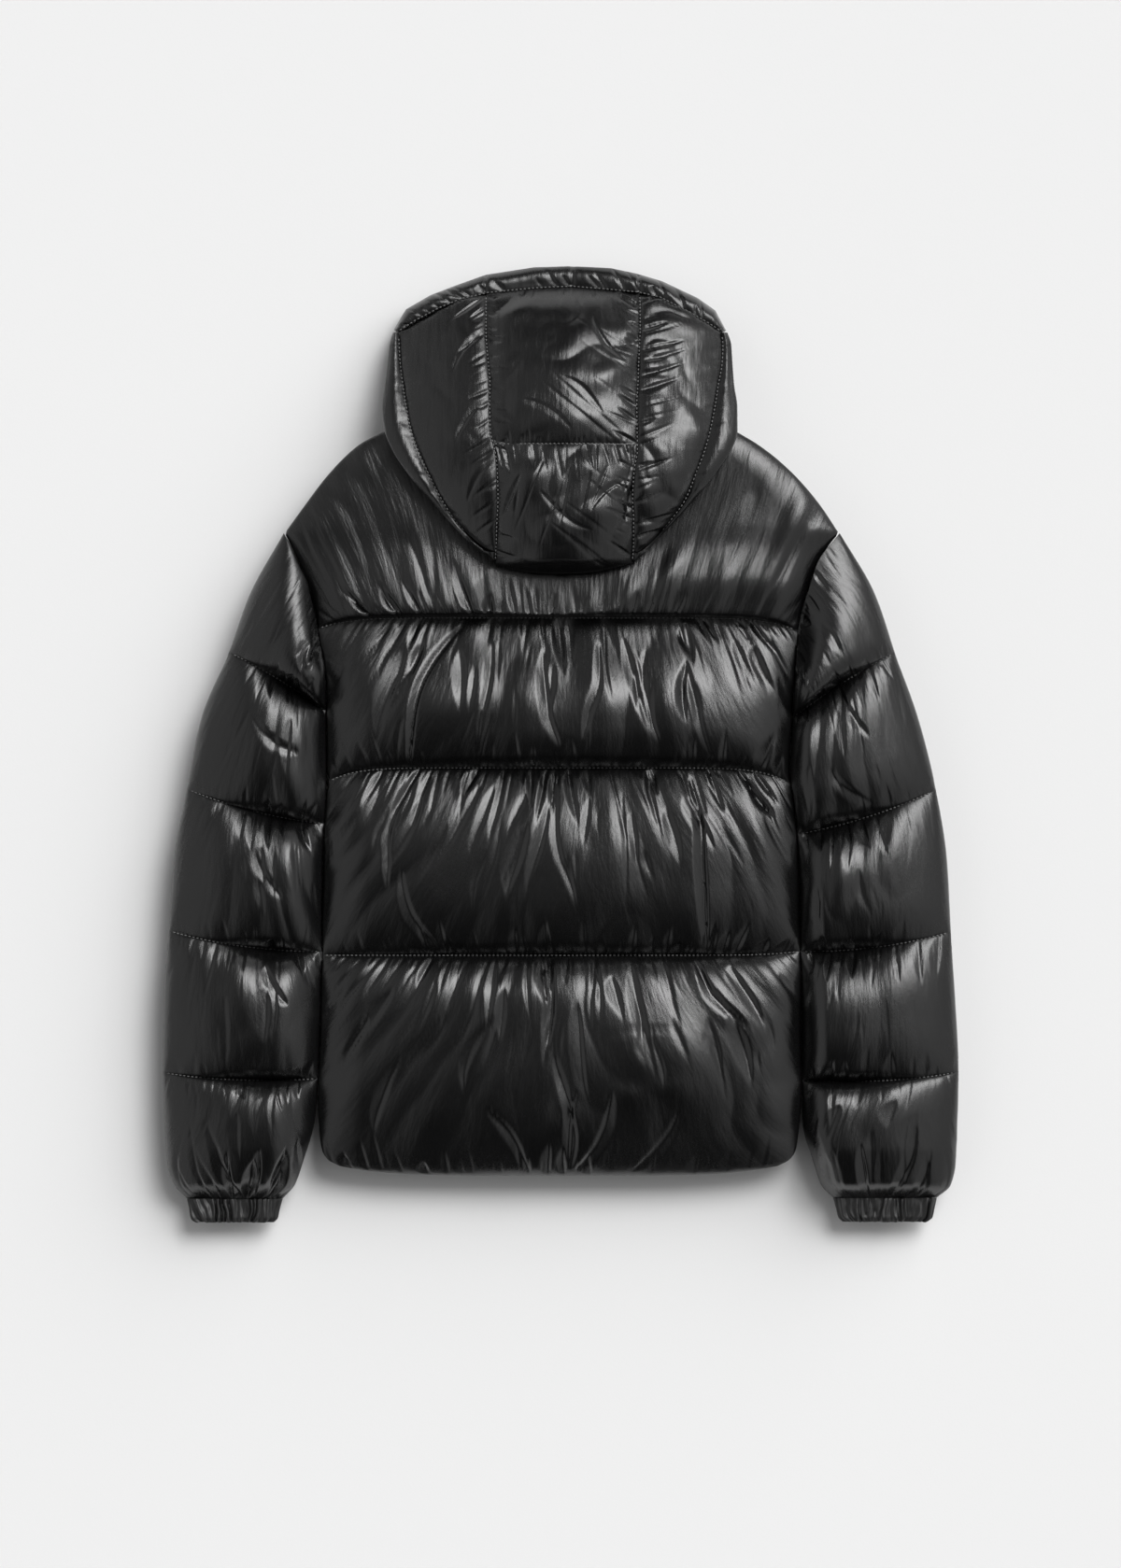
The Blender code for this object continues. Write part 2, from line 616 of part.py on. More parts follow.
def fold_height(y):
    """Height of the hood's side fold: high over the yoke, low where it lies on the surface."""
    return HOOD_EDGE + (HOOD_RIM - HOOD_EDGE) * smooth_step((y - NECK_Y) / 60.0)


def hood_skin(x, y):
    """Height of the hood over all its seams: a dome that sags over the yoke."""
    ring = np.array([(row[0], 0.5 * (row[6] - row[1])) for row in HOOD_LINES]
                    + [(row[1], abs(row[0])) for row in BRIM_LINES[1:6]] + [(HOOD_FOOT, 12.0)])
    ring = ring[np.argsort(ring[:, 0])]
    half = np.interp(y, ring[:, 0], ring[:, 1])
    middle = by_row(HOOD_MIDDLE, y, 1)
    fold = np.minimum(fold_height(y), middle)
    return fold + (middle - fold) * (1.0 - np.minimum(np.abs(x) / half, 1.0) ** 3.2)


def hood_floor(y):
    """Underside of the hood's upper layer: on the yoke, on the hood's front, on the surface."""
    stops = (NECK_Y - 44.0, NECK_Y + 2.4, NECK_Y + 4.4, COLLAR_TOP - 0.4, COLLAR_TOP + 1.4)
    return np.interp(y, stops, (PRESS + GAP, PRESS + 4.0 * GAP, COLLAR + GAP, COLLAR + GAP, 0.0))


def lower_curl(y, inside):
    """How far the hood's underside curls up to its fold over the yoke."""
    near = np.clip(1.0 - inside / EDGE_CURL, 0.0, 1.0)
    rise = HOOD_EDGE - 2.0 * HOOD_SEAM_DIP - PRESS
    return np.where(y < NECK_Y, rise * (1.0 - np.sqrt(1.0 - near**2)), 0.0)


def row_place(y):
    """Rows of the hood as shares from 0 to 1."""
    return (np.asarray(y, float) - HOOD_BOTTOM) / (HOOD_TOP - HOOD_BOTTOM)


def brim_seam_y(x):
    """y of the brim's seam at each x."""
    return np.interp(x, column(BRIM_LINES, 2), column(BRIM_LINES, 3))


def hood_foot_y(x):
    """y of the hood's lowest edge at each x."""
    return HOOD_FOOT + 10.0 * (np.abs(x) / 65.0) ** 2.4


def puff_across(u):
    """How a hood panel swells from one long seam to the other."""
    return (1.0 - np.abs(2.0 * u - 1.0) ** 3) ** 0.6


def centre_plan(u, v):
    """Plan of the centre panel, whose ends follow the brim's seam and the hood's lowest edge."""
    row = HOOD_BOTTOM + (HOOD_TOP - HOOD_BOTTOM) * v
    left = hood_line(row, 3) + GAP
    right = hood_line(row, 4) - GAP
    x = left + (right - left) * u
    top = np.clip(1.0 - (HOOD_TOP - row) / 24.0, 0.0, 1.0)
    foot = np.clip(1.0 - (row - HOOD_BOTTOM) / 24.0, 0.0, 1.0)
    y = row + (brim_seam_y(x) - 2.0 * GAP - HOOD_TOP) * top + (hood_foot_y(x) - HOOD_BOTTOM) * foot
    return x, y, row


def centre_outer(u, v):
    """Outer skin of the centre panel: two puffs with the cross seam between them."""
    x, y, row = centre_plan(u, v)
    upper = lens(np.clip((row - CROSS_SEAM) / (HOOD_TOP - CROSS_SEAM), 0.0, 1.0), LENS_POWER)
    lower = lens(np.clip(1.0 - 0.5 * (CROSS_SEAM - row) / (CROSS_SEAM - HOOD_BOTTOM), 0.5, 1.0), LENS_POWER)
    puff = CENTRE_PUFF * puff_across(u) * np.where(row > CROSS_SEAM, upper, lower)
    dip = HOOD_SEAM_DIP * smooth_step((y - HOOD_FOOT) / 12.0)
    return x, y, hood_skin(x, y) - dip + puff


def centre_inner(u, v):
    """The centre panel's plain inside."""
    x, y, row = centre_plan(u, v)
    return x, y, hood_floor(row) + lower_curl(row, y - hood_foot_y(x))


def make_hood_centre():
    """The centre panel of the hood, from the brim to the fold over the yoke."""
    us = spaced((0.0, 0.03, 0.08), 0.16, 9)
    inner_vs = row_place((167.0, 171.0, 183.6, 256.0, 302.4, 304.4, 384.6, 386.4, 433.0))
    return wall(
        "hood_centre", centre_outer, centre_inner,
        us, row_place(HOOD_ROWS), (0.06, 0.5, 0.94), inner_vs)


def side_plan(u, v, side):
    """Plan of a side panel: u from its outer seam to the centre panel's seam."""
    y = SIDE_END + (SIDE_TOP - SIDE_END) * v
    seam = hood_line(y, 2 if side < 0 else 5)
    brim = np.array([(row[3], row[2]) for row in BRIM_LINES if row[2] * side > 60.0])
    brim = brim[np.argsort(brim[:, 0])]
    on_brim = np.interp(y, brim[:, 0], brim[:, 1])
    outer = np.where(y > EDGE_TOP + 1.0, on_brim, seam) - side * 1.5 * GAP
    inner = hood_line(y, 3 if side < 0 else 4)
    return outer + (inner - outer) * u, y


def side_outer(u, v, side):
    """Outer skin of a side panel: one soft puff."""
    x, y = side_plan(u, v, side)
    along = rounded(SIDE_TOP - y, 40.0) * rounded(y - SIDE_END + 4.0, 30.0)
    return x, y, hood_skin(x, y) - HOOD_SEAM_DIP + SIDE_PUFF * puff_across(u) * along


def side_inner(u, v, side):
    """A side panel's plain inside."""
    x, y = side_plan(u, v, side)
    return x, y, hood_floor(y)


def make_hood_side(name, side):
    """A side panel of the hood, between its two curved seams."""
    rows = np.array([y for y in HOOD_ROWS if SIDE_END <= y < SIDE_TOP - 2.0] + [SIDE_TOP])
    inner_rows = np.array((192.0, 256.0, 302.4, 304.4, 384.6, 386.4, 420.0))
    vs = (rows - SIDE_END) / (SIDE_TOP - SIDE_END)
    inner_vs = (inner_rows - SIDE_END) / (SIDE_TOP - SIDE_END)
    us = (0.0, 0.05, 0.14, 0.3, 0.5, 0.7, 0.86, 0.95, 1.0)
    return wall(
        name, lambda u, v: side_outer(u, v, side), lambda u, v: side_inner(u, v, side),
        us, vs, (0.08, 0.5, 0.92), inner_vs)


def edge_seam(y, side):
    """x of the seam between an edge band and the side panel, then the centre panel."""
    outer = hood_line(y, 2 if side < 0 else 5)
    centre = hood_line(y, 3 if side < 0 else 4)
    return np.where(y < SIDE_END - 0.1, centre + side * GAP, outer)


def edge_outer(u, v, side):
    """Outer skin of an edge band: over the hood's fold, then underneath as the hood's front."""
    y = EDGE_START + (EDGE_TOP - EDGE_START) * v
    seam = edge_seam(y, side)
    fold = hood_line(y, 1 if side < 0 else 6)
    band = np.maximum(np.abs(fold - seam), 1.0)
    on_yoke = y < NECK_Y + 1.0
    wide = ~on_yoke & (y < COLLAR_TOP - 1.0)
    reach = np.where(wide, EDGE_ROUND, np.minimum(EDGE_CURL, 0.8 * band))
    low = np.where(on_yoke, PRESS + GAP, 0.0)
    crown = hood_skin(seam, y) - HOOD_SEAM_DIP
    height = np.minimum(fold_height(y), crown - 2.0)
    over = np.clip(u / 0.4, 0.0, 1.0)
    under = np.clip((u - 0.4) / 0.2, 0.0, 1.0)
    flat = np.clip((u - 0.6) / 0.3, 0.0, 1.0)
    notch = np.clip((u - 0.9) / 0.05, 0.0, 1.0)
    tuck = np.clip((u - 0.95) / 0.05, 0.0, 1.0)
    turn = fold - side * reach * under
    centre = np.where(wide, side * ZIP_NOTCH, seam + side * 0.1 * band)
    x = np.where(u <= 0.4, seam + (fold - seam) * over, turn + (centre - turn) * flat)
    z_over = height + (crown + EDGE_PUFF * np.sin(np.pi * over) - height) * np.sqrt(1.0 - over**2.4)
    z_under = low + (height - low) * (1.0 - rounded(under * reach, reach))
    z = np.where(u <= 0.4, z_over, z_under)
    end = np.where(wide, side * GAP, seam)
    x = x + (end - x) * np.where(wide, tuck, 0.5 * (notch + tuck))
    z = z + np.where(wide, ZIP_TUCK * (notch + tuck), 0.0)
    return x, y, z


def edge_inner(u, v, side):
    """Plain inside of an edge band, then of the hood's front."""
    y = EDGE_START + (EDGE_TOP - EDGE_START) * v
    seam = edge_seam(y, side)
    on_yoke = y < NECK_Y + 1.0
    crown = hood_skin(seam, y) - HOOD_SEAM_DIP - 0.5 * SEAM_WALL
    base = np.where(on_yoke, PRESS + 2.0 * GAP, np.where(y < COLLAR_TOP - 1.0, COLLAR, 2.0))
    slab = ~on_yoke & (y < COLLAR_TOP - 1.0)
    down = np.where(slab, np.clip(u / 0.45, 0.0, 1.0), u)
    along = np.clip((u - 0.45) / 0.55, 0.0, 1.0)
    x = seam + np.where(slab, (side * GAP - seam) * along, 0.0)
    z = crown + (base - crown) * down
    return x, y, z


def make_hood_edge(name, side):
    """A hood edge band with the hood's front and collar, down to the neck."""
    rows = [y for y in HOOD_ROWS if EDGE_START <= y <= EDGE_TOP]
    vs = (np.array(rows) - EDGE_START) / (EDGE_TOP - EDGE_START)
    us = (0.0, 0.1, 0.2, 0.28, 0.34, 0.38, 0.4, 0.45, 0.5, 0.55, 0.6, 0.75, 0.9, 0.95, 1.0)
    return wall(
        name, lambda u, v: edge_outer(u, v, side), lambda u, v: edge_inner(u, v, side),
        us, vs, (0.03, 0.45, 0.97), vs[1:-1])


def brim_outer(u, v):
    """Outer skin of the brim, round from its seam over the edge and flat underneath."""
    places = np.linspace(0.0, 1.0, len(BRIM_LINES))
    outer_x, outer_y, seam_x, seam_y = [np.interp(v, places, column(BRIM_LINES, k)) for k in range(4)]
    over = np.clip(u / 0.6, 0.0, 1.0)
    under = np.clip((u - 0.6) / 0.4, 0.0, 1.0)
    out = np.where(u <= 0.6, np.sin(0.5 * np.pi * over), 1.0 - under)
    crown = hood_skin(seam_x, seam_y) - HOOD_SEAM_DIP
    swell = EDGE_PUFF * np.sin(np.pi * over)
    z_over = BRIM_FOLD + (crown - BRIM_FOLD + swell) * np.cos(0.5 * np.pi * over)
    z_under = BRIM_FOLD * (1.0 - rounded(under * EDGE_ROUND, BRIM_ROUND))
    z = np.where(u <= 0.6, z_over, z_under)
    return seam_x + (outer_x - seam_x) * out, seam_y + (outer_y - seam_y) * out, z


def brim_inner(u, v):
    """The brim's plain inside: its sewn face against the panels."""
    x, y, crown = brim_outer(0.0 * u, v)
    return x, y, crown - 1.0 - (crown - 2.0) * u


def make_hood_brim():
    """The padded band over the hood's top edge."""
    us = (0.0, 0.12, 0.24, 0.36, 0.46, 0.54, 0.6, 0.68, 0.8, 1.0)
    vs = np.linspace(0.0, 1.0, 2 * len(BRIM_LINES) - 1)
    return wall("hood_brim", brim_outer, brim_inner, us, vs, (0.05, 0.95), vs[1:-1])


# ---------------------------------------------------------------- zip
def make_bar(half_width, low, high, start, end):
    """A straight bar along Y, as a bmesh."""
    bm = bmesh.new()
    bmesh.ops.create_cube(bm, size=1.0)
    size = np.array([2.0 * half_width, end - start, high - low]) * MM
    bmesh.ops.scale(bm, vec=size, verts=bm.verts[:])
    bmesh.ops.translate(bm, vec=(0.0, 0.5 * (start + end) * MM, 0.5 * (low + high) * MM), verts=bm.verts[:])
    return bm


def make_zip():
    """The closed chain between the two fronts."""
    bm = make_bar(ZIP_CHAIN_HALF, ZIP_CHAIN_LOW, ZIP_CHAIN_HIGH, HEM_Y + 6.0, ZIP_TOP - GAP)
    return from_bmesh("zip", bm)


def make_zip_slider():
    """The slider at the top of the chain."""
    bm = make_bar(ZIP_HALF, SLIDER_LOW, SLIDER_HIGH, ZIP_TOP, ZIP_TOP + SLIDER_LENGTH)
    bmesh.ops.bevel(bm, geom=bm.edges[:], offset=SLIDER_EDGE * MM, segments=2, affect="EDGES", profile=0.5)
    return from_bmesh("zip_slider", bm)


def from_bmesh(name, bm):
    """An object from a finished bmesh."""
    mesh = bpy.data.meshes.new(name)
    bm.to_mesh(mesh)
    bm.free()
    return bpy.data.objects.new(name, mesh)


# ---------------------------------------------------------------- materials and scene
def material(name, colour, roughness, metallic=0.0):
    """A Principled material."""
    item = bpy.data.materials.new(name)
    item.use_nodes = True
    shader = item.node_tree.nodes["Principled BSDF"]
    shader.inputs["Base Color"].default_value = (*colour, 1.0)
    shader.inputs["Roughness"].default_value = roughness
    shader.inputs["Metallic"].default_value = metallic
    item.diffuse_color = (*colour, 1.0)
    return item


def main():
    for item in list(bpy.data.objects):
        bpy.data.objects.remove(item, do_unlink=True)
    group = bpy.data.collections.new("puffer_jacket")
    bpy.context.scene.collection.children.link(group)

    pieces = [
        (make_back(), 0.34),
        (make_front("front_left", -1), 0.36),
        (make_front("front_right", 1), 0.36),
        (make_sleeve("sleeve_left", SLEEVE_LEFT, -1), 0.35),
        (make_sleeve("sleeve_right", SLEEVE_RIGHT, 1), 0.35),
        (make_cuff("cuff_left", CUFF_LEFT), 0.5),
        (make_cuff("cuff_right", CUFF_RIGHT), 0.5),
        (make_hood_centre(), 0.33),
        (make_hood_side("hood_side_left", -1), 0.35),
        (make_hood_side("hood_side_right", 1), 0.35),
        (make_hood_edge("hood_edge_left", -1), 0.37),
        (make_hood_edge("hood_edge_right", 1), 0.37),
        (make_hood_brim(), 0.38),
        (make_zip(), 0.45),
        (make_zip_slider(), 0.3),
    ]
    for item, roughness in pieces:
        group.objects.link(item)
        shade = 0.012 if item.name.startswith(("cuff", "zip")) else 0.016
        item.data.materials.append(material(item.name + "_cloth", (shade, shade, shade), roughness))


main()
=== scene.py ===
"""Dresses a hooded puffer jacket that lies on its front: shell cloth, cuffs, zip, stitching and stage."""

import bmesh
import bpy
import numpy as np
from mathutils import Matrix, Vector


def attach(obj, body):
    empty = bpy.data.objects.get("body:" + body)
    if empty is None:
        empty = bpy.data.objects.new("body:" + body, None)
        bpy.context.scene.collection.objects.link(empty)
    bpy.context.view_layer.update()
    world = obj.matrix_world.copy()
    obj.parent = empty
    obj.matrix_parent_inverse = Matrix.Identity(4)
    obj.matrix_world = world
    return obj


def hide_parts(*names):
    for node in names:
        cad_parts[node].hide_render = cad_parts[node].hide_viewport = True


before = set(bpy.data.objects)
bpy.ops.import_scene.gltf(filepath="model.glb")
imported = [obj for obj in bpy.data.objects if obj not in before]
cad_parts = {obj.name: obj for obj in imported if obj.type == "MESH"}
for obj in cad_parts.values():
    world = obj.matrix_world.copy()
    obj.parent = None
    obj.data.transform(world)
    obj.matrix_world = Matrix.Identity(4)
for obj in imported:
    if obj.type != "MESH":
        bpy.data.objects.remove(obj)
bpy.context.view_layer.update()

bl_info = {
    "name": "Puffer jacket",
    "version": (1, 0, 0),
    "blender": (4, 5, 0),
    "location": "View3D > Sidebar > Jacket",
    "description": "Builds a hooded puffer jacket laid on its front, with its stitching and a plain stage",
    "category": "Add Mesh",
}

MM = 0.001

# ---------------------------------------------------------------- sizes, mm
GAP = 0.3                    # between sewn pieces
SIDE_GAP = 0.9               # between the body and the sleeves that lie against it
SEAM_WALL = 3.0              # shell, fill and lining where they are sewn through
MID = 32.0                   # height at which the back lies on the fronts
SIDE_ROUND = 44.0            # how far in from a side seam the back is rounded
FRONT_ROUND = 34.0
NECK_Y = 300.0
SHOULDER_Y = 203.0
SHOULDER_ROW = 5
HEM_Y = -405.0
HEM_BOW = -9.0
SLEEVE_FOLD = 30.0           # fill between a sleeve's outer fold and its lining
SLEEVE_SPAN = 122.0          # from seam to seam on a sleeve
SLEEVE_CRESTS = (0.30, 0.17)  # where each sleeve is fullest, from its inner edge to its outer fold
CUFF_MID = 22.0
CUFF_HALF = 5.0
CUFF_EDGE = 1.2
PRESS = 50.0                 # height of the yoke where the hood lies on it
PRESS_INSET = 7.0            # how far inside the hood's edge that ends
PRESS_CURL = 5.0             # how far the yoke curls up there
PRESS_REACH = 12.0           # over what width it does
RING = 142.0                 # radius of the hood's edge on the yoke, round the neck
RING_SIDES = 27.0            # how much further out it lies at both sides
COLLAR = 22.0                # thickness of the hood's front, under its back
COLLAR_TOP = 385.0
HOOD_EDGE = 70.0
HOOD_RIM = 30.0
HOOD_SEAM_DIP = 5.0
CROSS_SEAM = 286.0           # y of the seam across the centre panel
CENTRE_PUFF = 10.5
SIDE_PUFF = 7.0
EDGE_PUFF = 3.0
BRIM_FOLD = 12.0
BRIM_ROUND = 10.0
EDGE_ROUND = 16.0
EDGE_CURL = 18.0
LENS_POWER = 3.0
ZIP_NOTCH = 5.0
ZIP_TUCK = 4.0
ZIP_TOP = 364.0
TOOTH_PITCH = 2.6
TOOTH_HALF = (1.9, 0.52)     # across the zip and along it
TOOTH_OFF = 0.85             # from the zip's middle
TOOTH_ENDS = (0.5, 3.4)      # heights of its two ends
THREAD_RISE = 1.9            # of the stitches over their seam
BAFFLES = 4                  # of the back, from the neck to the hem
SLEEVE_BAFFLES = 5
BODY_WIDTH = 460.0           # of the back under the arms, about
CUFF_WIDTH = 95.0            # of a cuff as it lies flat, about
CUFF_LENGTH = 23.0
BRIM_RUN = 400.0             # the run that the brim's puckers are spaced along
BRIM_WIDTH = 24.0            # of the brim's upper side, about
ARMHOLE = (58.0, 206.0)      # lowest and highest y of an armhole

# How far round a folded panel its fold lies, as a share of the way.
SLEEVE_BEND = 0.4
CUFF_BEND = 0.5
EDGE_BEND = 0.4
BRIM_BEND = 0.6

# Which of the hood's lines is which, counted from its edge to its middle.
EDGE_LINE = 1
OUTER_SEAM = 2
CENTRE_SEAM = 3

SHARP_ANGLE = 1.2            # radians between faces that meet in a sharp edge
WEAVE_PITCH = 0.0006         # metres from thread to thread
FLOOR_HALF = 9.0             # metres from the floor's middle to its edge

# The body's outline, from the neck down the shoulder, armhole and side seam.
# y, left edge, right edge
BODY_OUTLINE = (
    (300, -171, 169.5),
    (289, -192, 188),
    (274, -209.5, 208),
    (254, -227.5, 229),
    (230, -245.5, 249),
    (203, -265, 267),
    (176, -252, 246.5),
    (151, -241.3, 237.8),
    (111, -232.5, 227.5),
    (56, -225, 223.7),
    (-24, -224.6, 219.8),
    (-36, -222.4, 219.8),
    (-48, -225, 223),
    (-85, -227, 226.4),
    (-182, -229.2, 230.2),
    (-202, -228.4, 229.6),
    (-222, -229.8, 230.8),
    (-272, -230.6, 231),
    (-340, -233, 231),
    (-376, -231.5, 228),
    (-390, -229, 225.5),
    (-399, -223.5, 219.5),
    (-405, -212, 208),
)

# The quilting seams of the back: y at the middle, and how far the two ends lie below that.
# middle, drop of the left end, drop of the right end
BACK_SEAMS = (
    (121.5, 10.5, 13),
    (-22.5, 13, 15),
    (-202.5, 0, -4),
)

# Where the plan of a sleeve's edges lies, station by station: 0 is the armhole, 1 to 4 are the
# quilting seams and 5 is the cuff. The bow is how far the line between the edges sags.
# station, inner x, inner y, outer x, outer y, bow
SLEEVE_LEFT = (
    (0, -225.6, 56, -265.6, 203, 0),
    (0.5, -225.6, 44, -297.5, 146, 3),
    (1, -225.6, 32, -318.6, 88.5, 3),
    (1.5, -225.2, -22, -345.5, 24, -2),
    (2, -226.9, -76, -358.6, -43, -5),
    (2.5, -228.9, -137, -371.2, -110, -5),
    (3, -229.2, -199, -376.2, -179, -5),
    (3.5, -231.2, -260, -381.2, -247, -4),
    (4, -233.2, -321, -382, -315, -4),
    (4.4, -236.5, -362, -380.4, -364, 0),
    (4.75, -248, -402, -377.6, -404, 0),
    (4.9, -256, -424, -370.5, -424.5, 0),
    (5, -267.2, -436.6, -360, -436.6, 0),
)
SLEEVE_RIGHT = (
    (0, 224.4, 56, 267.7, 203, 0),
    (0.5, 223.4, 41, 301.5, 145, 3),
    (1, 222.8, 26, 320.8, 88, 3),
    (1.5, 220.8, -30, 343.5, 24, -2),
    (2, 227.2, -86, 360.2, -43.5, -5),
    (2.5, 229.4, -142, 371, -112, -5),
    (3, 230.4, -199, 374.6, -180, -5),
    (3.5, 231.6, -260, 378.8, -247, -4),
    (4, 231.8, -323, 382, -314.5, -4),
    (4.4, 232.6, -364, 381, -364, 0),
    (4.75, 243, -402, 379.4, -404, 0),
    (4.9, 250.6, -424, 374.6, -424.5, 0),
    (5, 261.8, -435.8, 362, -435.8, 0),
)

# How thick a sleeve is along its length: the height of its middle, the share of its full rise that
# it has there, and how far its underside is clear of the surface.
# station, middle, share of the rise, clearance
SLEEVE_HEIGHTS = (
    (0, 32, 1, 0),
    (4, 32, 1, 0),
    (4.6, 30, 0.95, 0),
    (4.85, 26, 0.72, 3),
    (5, 22, 0, 16),
)

# A cuff's edges, from the sleeve to its end.
# y, inner edge, outer edge
CUFF_LEFT = (
    (-437, -267.4, -359.8),
    (-448, -270.4, -357.4),
    (-456, -272.2, -355.6),
    (-459.6, -276, -351),
)
CUFF_RIGHT = (
    (-436.2, 262, 361.8),
    (-447, 265, 359.6),
    (-455, 267, 357.8),
    (-459.2, 271, 353),
)

# The hood's outline, its curved outer seams and the two seams of its centre panel, row by row.
# y, left edge, left outer seam, left centre seam, right centre seam, right outer seam, right edge
HOOD_LINES = (
    (172, -60.5, -61, -62.3, 68, 69.5, 68.5),
    (178, -68.5, -62.8, -62.3, 68.6, 69.4, 75.5),
    (192, -87, -79.4, -61.6, 69.4, 86, 88.5),
    (210, -104.6, -98, -61, 69.4, 102, 106.5),
    (234, -126.2, -114, -59.8, 68.4, 119, 128),
    (261, -148.7, -127.6, -60.6, 69.8, 130, 150),
    (281, -161.3, -136.5, -63, 73, 137.5, 163),
    (300, -168.6, -143, -67.4, 72.6, 142.8, 169.2),
    (323, -171.2, -147.8, -67.8, 72.4, 147.4, 169.2),
    (345, -168.5, -151.4, -67.7, 73.6, 151, 166.3),
    (365, -166.4, -154.1, -69.4, 74.4, 154.6, 165),
    (385, -164.2, -155.4, -71.2, 75.4, 155.6, 163.8),
    (396, -161.5, -156, -71.8, 76, 154.4, 160.5),
)

# The brim's outer edge and its seam.
# outer x, outer y, seam x, seam y
BRIM_LINES = (
    (-160.8, 400, -155.6, 397.6),
    (-149, 419.5, -140, 407.5),
    (-126, 433, -119, 418.6),
    (-104.6, 441.3, -97, 428.2),
    (-72.2, 453, -70.5, 434.6),
    (-25.4, 460.2, -25.4, 439.5),
    (7, 461.1, 11.5, 441.2),
    (48.4, 459.3, 48.4, 437.8),
    (73.6, 454, 74, 435.2),
    (97.9, 446.7, 95, 430.2),
    (132.1, 430.5, 125, 414.8),
    (149, 418.5, 143, 404.4),
    (159.4, 399, 154.2, 397.2),
)

# The hood's height along its middle, front to back.
# y, height
HOOD_MIDDLE = (
    (163, 72),
    (168, 80),
    (178, 88),
    (195, 95),
    (220, 99),
    (250, 100),
    (286, 96),
    (330, 86),
    (370, 72),
    (400, 57),
    (425, 40),
    (441, 25),
)

SIDE_END = 184.0             # where a hood side panel runs out at its lower tip
SIDE_TOP = 432.0
EDGE_START = 176.0           # lower tip of a hood edge band
EDGE_TOP = 396.0             # where a hood edge band meets the brim
HOOD_TOP = 437.0
HOOD_BOTTOM = 164.0
HOOD_FOOT = 163.0            # the lowest point of the fold over the yoke
HOOD_TIP = 65.0              # height of that fold

# The back's baffles: rows of the grid, length from seam to seam, and how its lines of gathers fan
# out per mm below the seam above and above the seam below.
BACK_ROWS = (70, 58, 70, 74)
BACK_SPANS = (179.0, 144.0, 180.0, 205.0)
BACK_SAGS = (1.0, 2.0, 1.3, 0.85)  # how far each baffle's fullest line hangs towards the seam below
SEAM_START = 0.72            # how steeply a baffle starts at its seams
CROWN = 17.0                 # how much lower the back lies towards its sides
# fan below the seam above, fan above the seam below
BACK_FANS = (
    (-0.0012, 0.0045),
    (0.0034, 0.0012),
    (0.0038, 0.0012),
    (0.0042, 0.0012),
)
SLEEVE_FANS = (
    (0.0015, 0.0015),
    (0.0025, 0.0015),
    (0.0025, 0.0015),
    (0.0025, 0.0015),
    (0.0020, 0.0060),
)

# Long folds, listed one by one.
# start x, start y, end x, end y, bow, depth, half width
BACK_CREASES = (
    (-93.8, 113, -144.2, -22, 14, 5, 4),
    (121.3, 76, 118, 22, 3, 3.5, 4),
    (-63, 98, -74, 30, -5, 3, 4),
    (-13.7, 90, -2, -2, 6, 3, 4.5),
    (36, 98, 22, 5, -6, 3, 4),
    (81, 90, 95, 5, 5, 3, 4.5),
    (-137, -27, -167, -137, 9, 2.6, 4),
    (121.3, -30, 137, -199, -9, 4.5, 4.5),
    (-0.2, -30, 12, -150, 7, 1.8, 3.5),
    (180, -38, 208, -66, 2, 3.5, 3.5),
    (-152, -120, -117, -199, 9, 2.4, 4.5),
    (-9.2, -203, -14, -290, -5, 2, 3.5),
    (-4, -300, 7, -407, -5, 3, 4),
    (18, -332, 2, -399, 4, 2.8, 3.5),
    (126, -209, 180, -273, 3, 5, 4.5),
    (36, -277.5, 115, -275, 0, 0.8, 2.5),
    (-72, -349, -29, -410, -4, 2.4, 4),
    (70.6, -411, 112, -352, 6, 1.6, 4),
    (12, -408, 52, -334, 9, 2.2, 4.5),
    (-150, -300, -176, -372, 5, 2.2, 4.5),
    (-60, -262, -92, -330, 6, 1.8, 4.5),
)
# Broad swells of the filling.
# middle x, middle y, reach across, reach along, height
BACK_SWELLS = (
    (168, 156, 80, 60, 6),
    (98, -300, 62, 46, 7),
    (-55, -236, 60, 26, 2.5),
    (-120, 40, 50, 30, 1.5),
    (110, 20, 60, 34, 2),
    (4, -348, 17, 24, 3),
    (66, -336, 24, 13, 2.6),
    (108, -330, 20, 12, 2),
)
SLEEVE_CREASES = (
    (-336, -366, -306, -438, 3, 4.5, 4.5),
    (-350, -384, -324, -438, 3, 3, 3.5),
    (-287, -388, -297, -438, -2, 3.5, 3.5),
    (-262, -392, -284, -436, -3, 3, 3.5),
    (-283, -212, -262, -250, 3, 3, 4),
    (-290, -102, -264, -146, 5, 1.6, 4.5),
    (-296, 26, -248, -6, 5, 2.6, 4.5),
    (342, -366, 316, -438, -3, 4, 4.5),
    (285, -384, 299, -438, 2, 3, 4),
    (355, -388, 336, -438, -2, 3, 3.5),
    (266, 60, 296, 8, 4, 3, 4),
    (258, -24, 296, -56, 5, 2.2, 4.5),
)
HOOD_CREASES = (
    (-70, 400, -104, 356, 4, 1.4, 2.5),
    (-68, 330, -100, 288, 4, 1.4, 2.5),
    (-63, 270, -90, 232, 3, 1.4, 2.5),
    (30, 410, 62, 366, 3, 1.6, 2.5),
    (0, 352, 44, 318, -6, 1.1, 3),
    (-40, 330, 12, 304, -5, 0.9, 3),
    (66, 250, 28, 222, 4, 1.5, 2.5),
    (-20, 240, 30, 205, 5, 1.3, 2.5),
)
BRIM_JOINS = (-72.2, 11.5, 75.4)


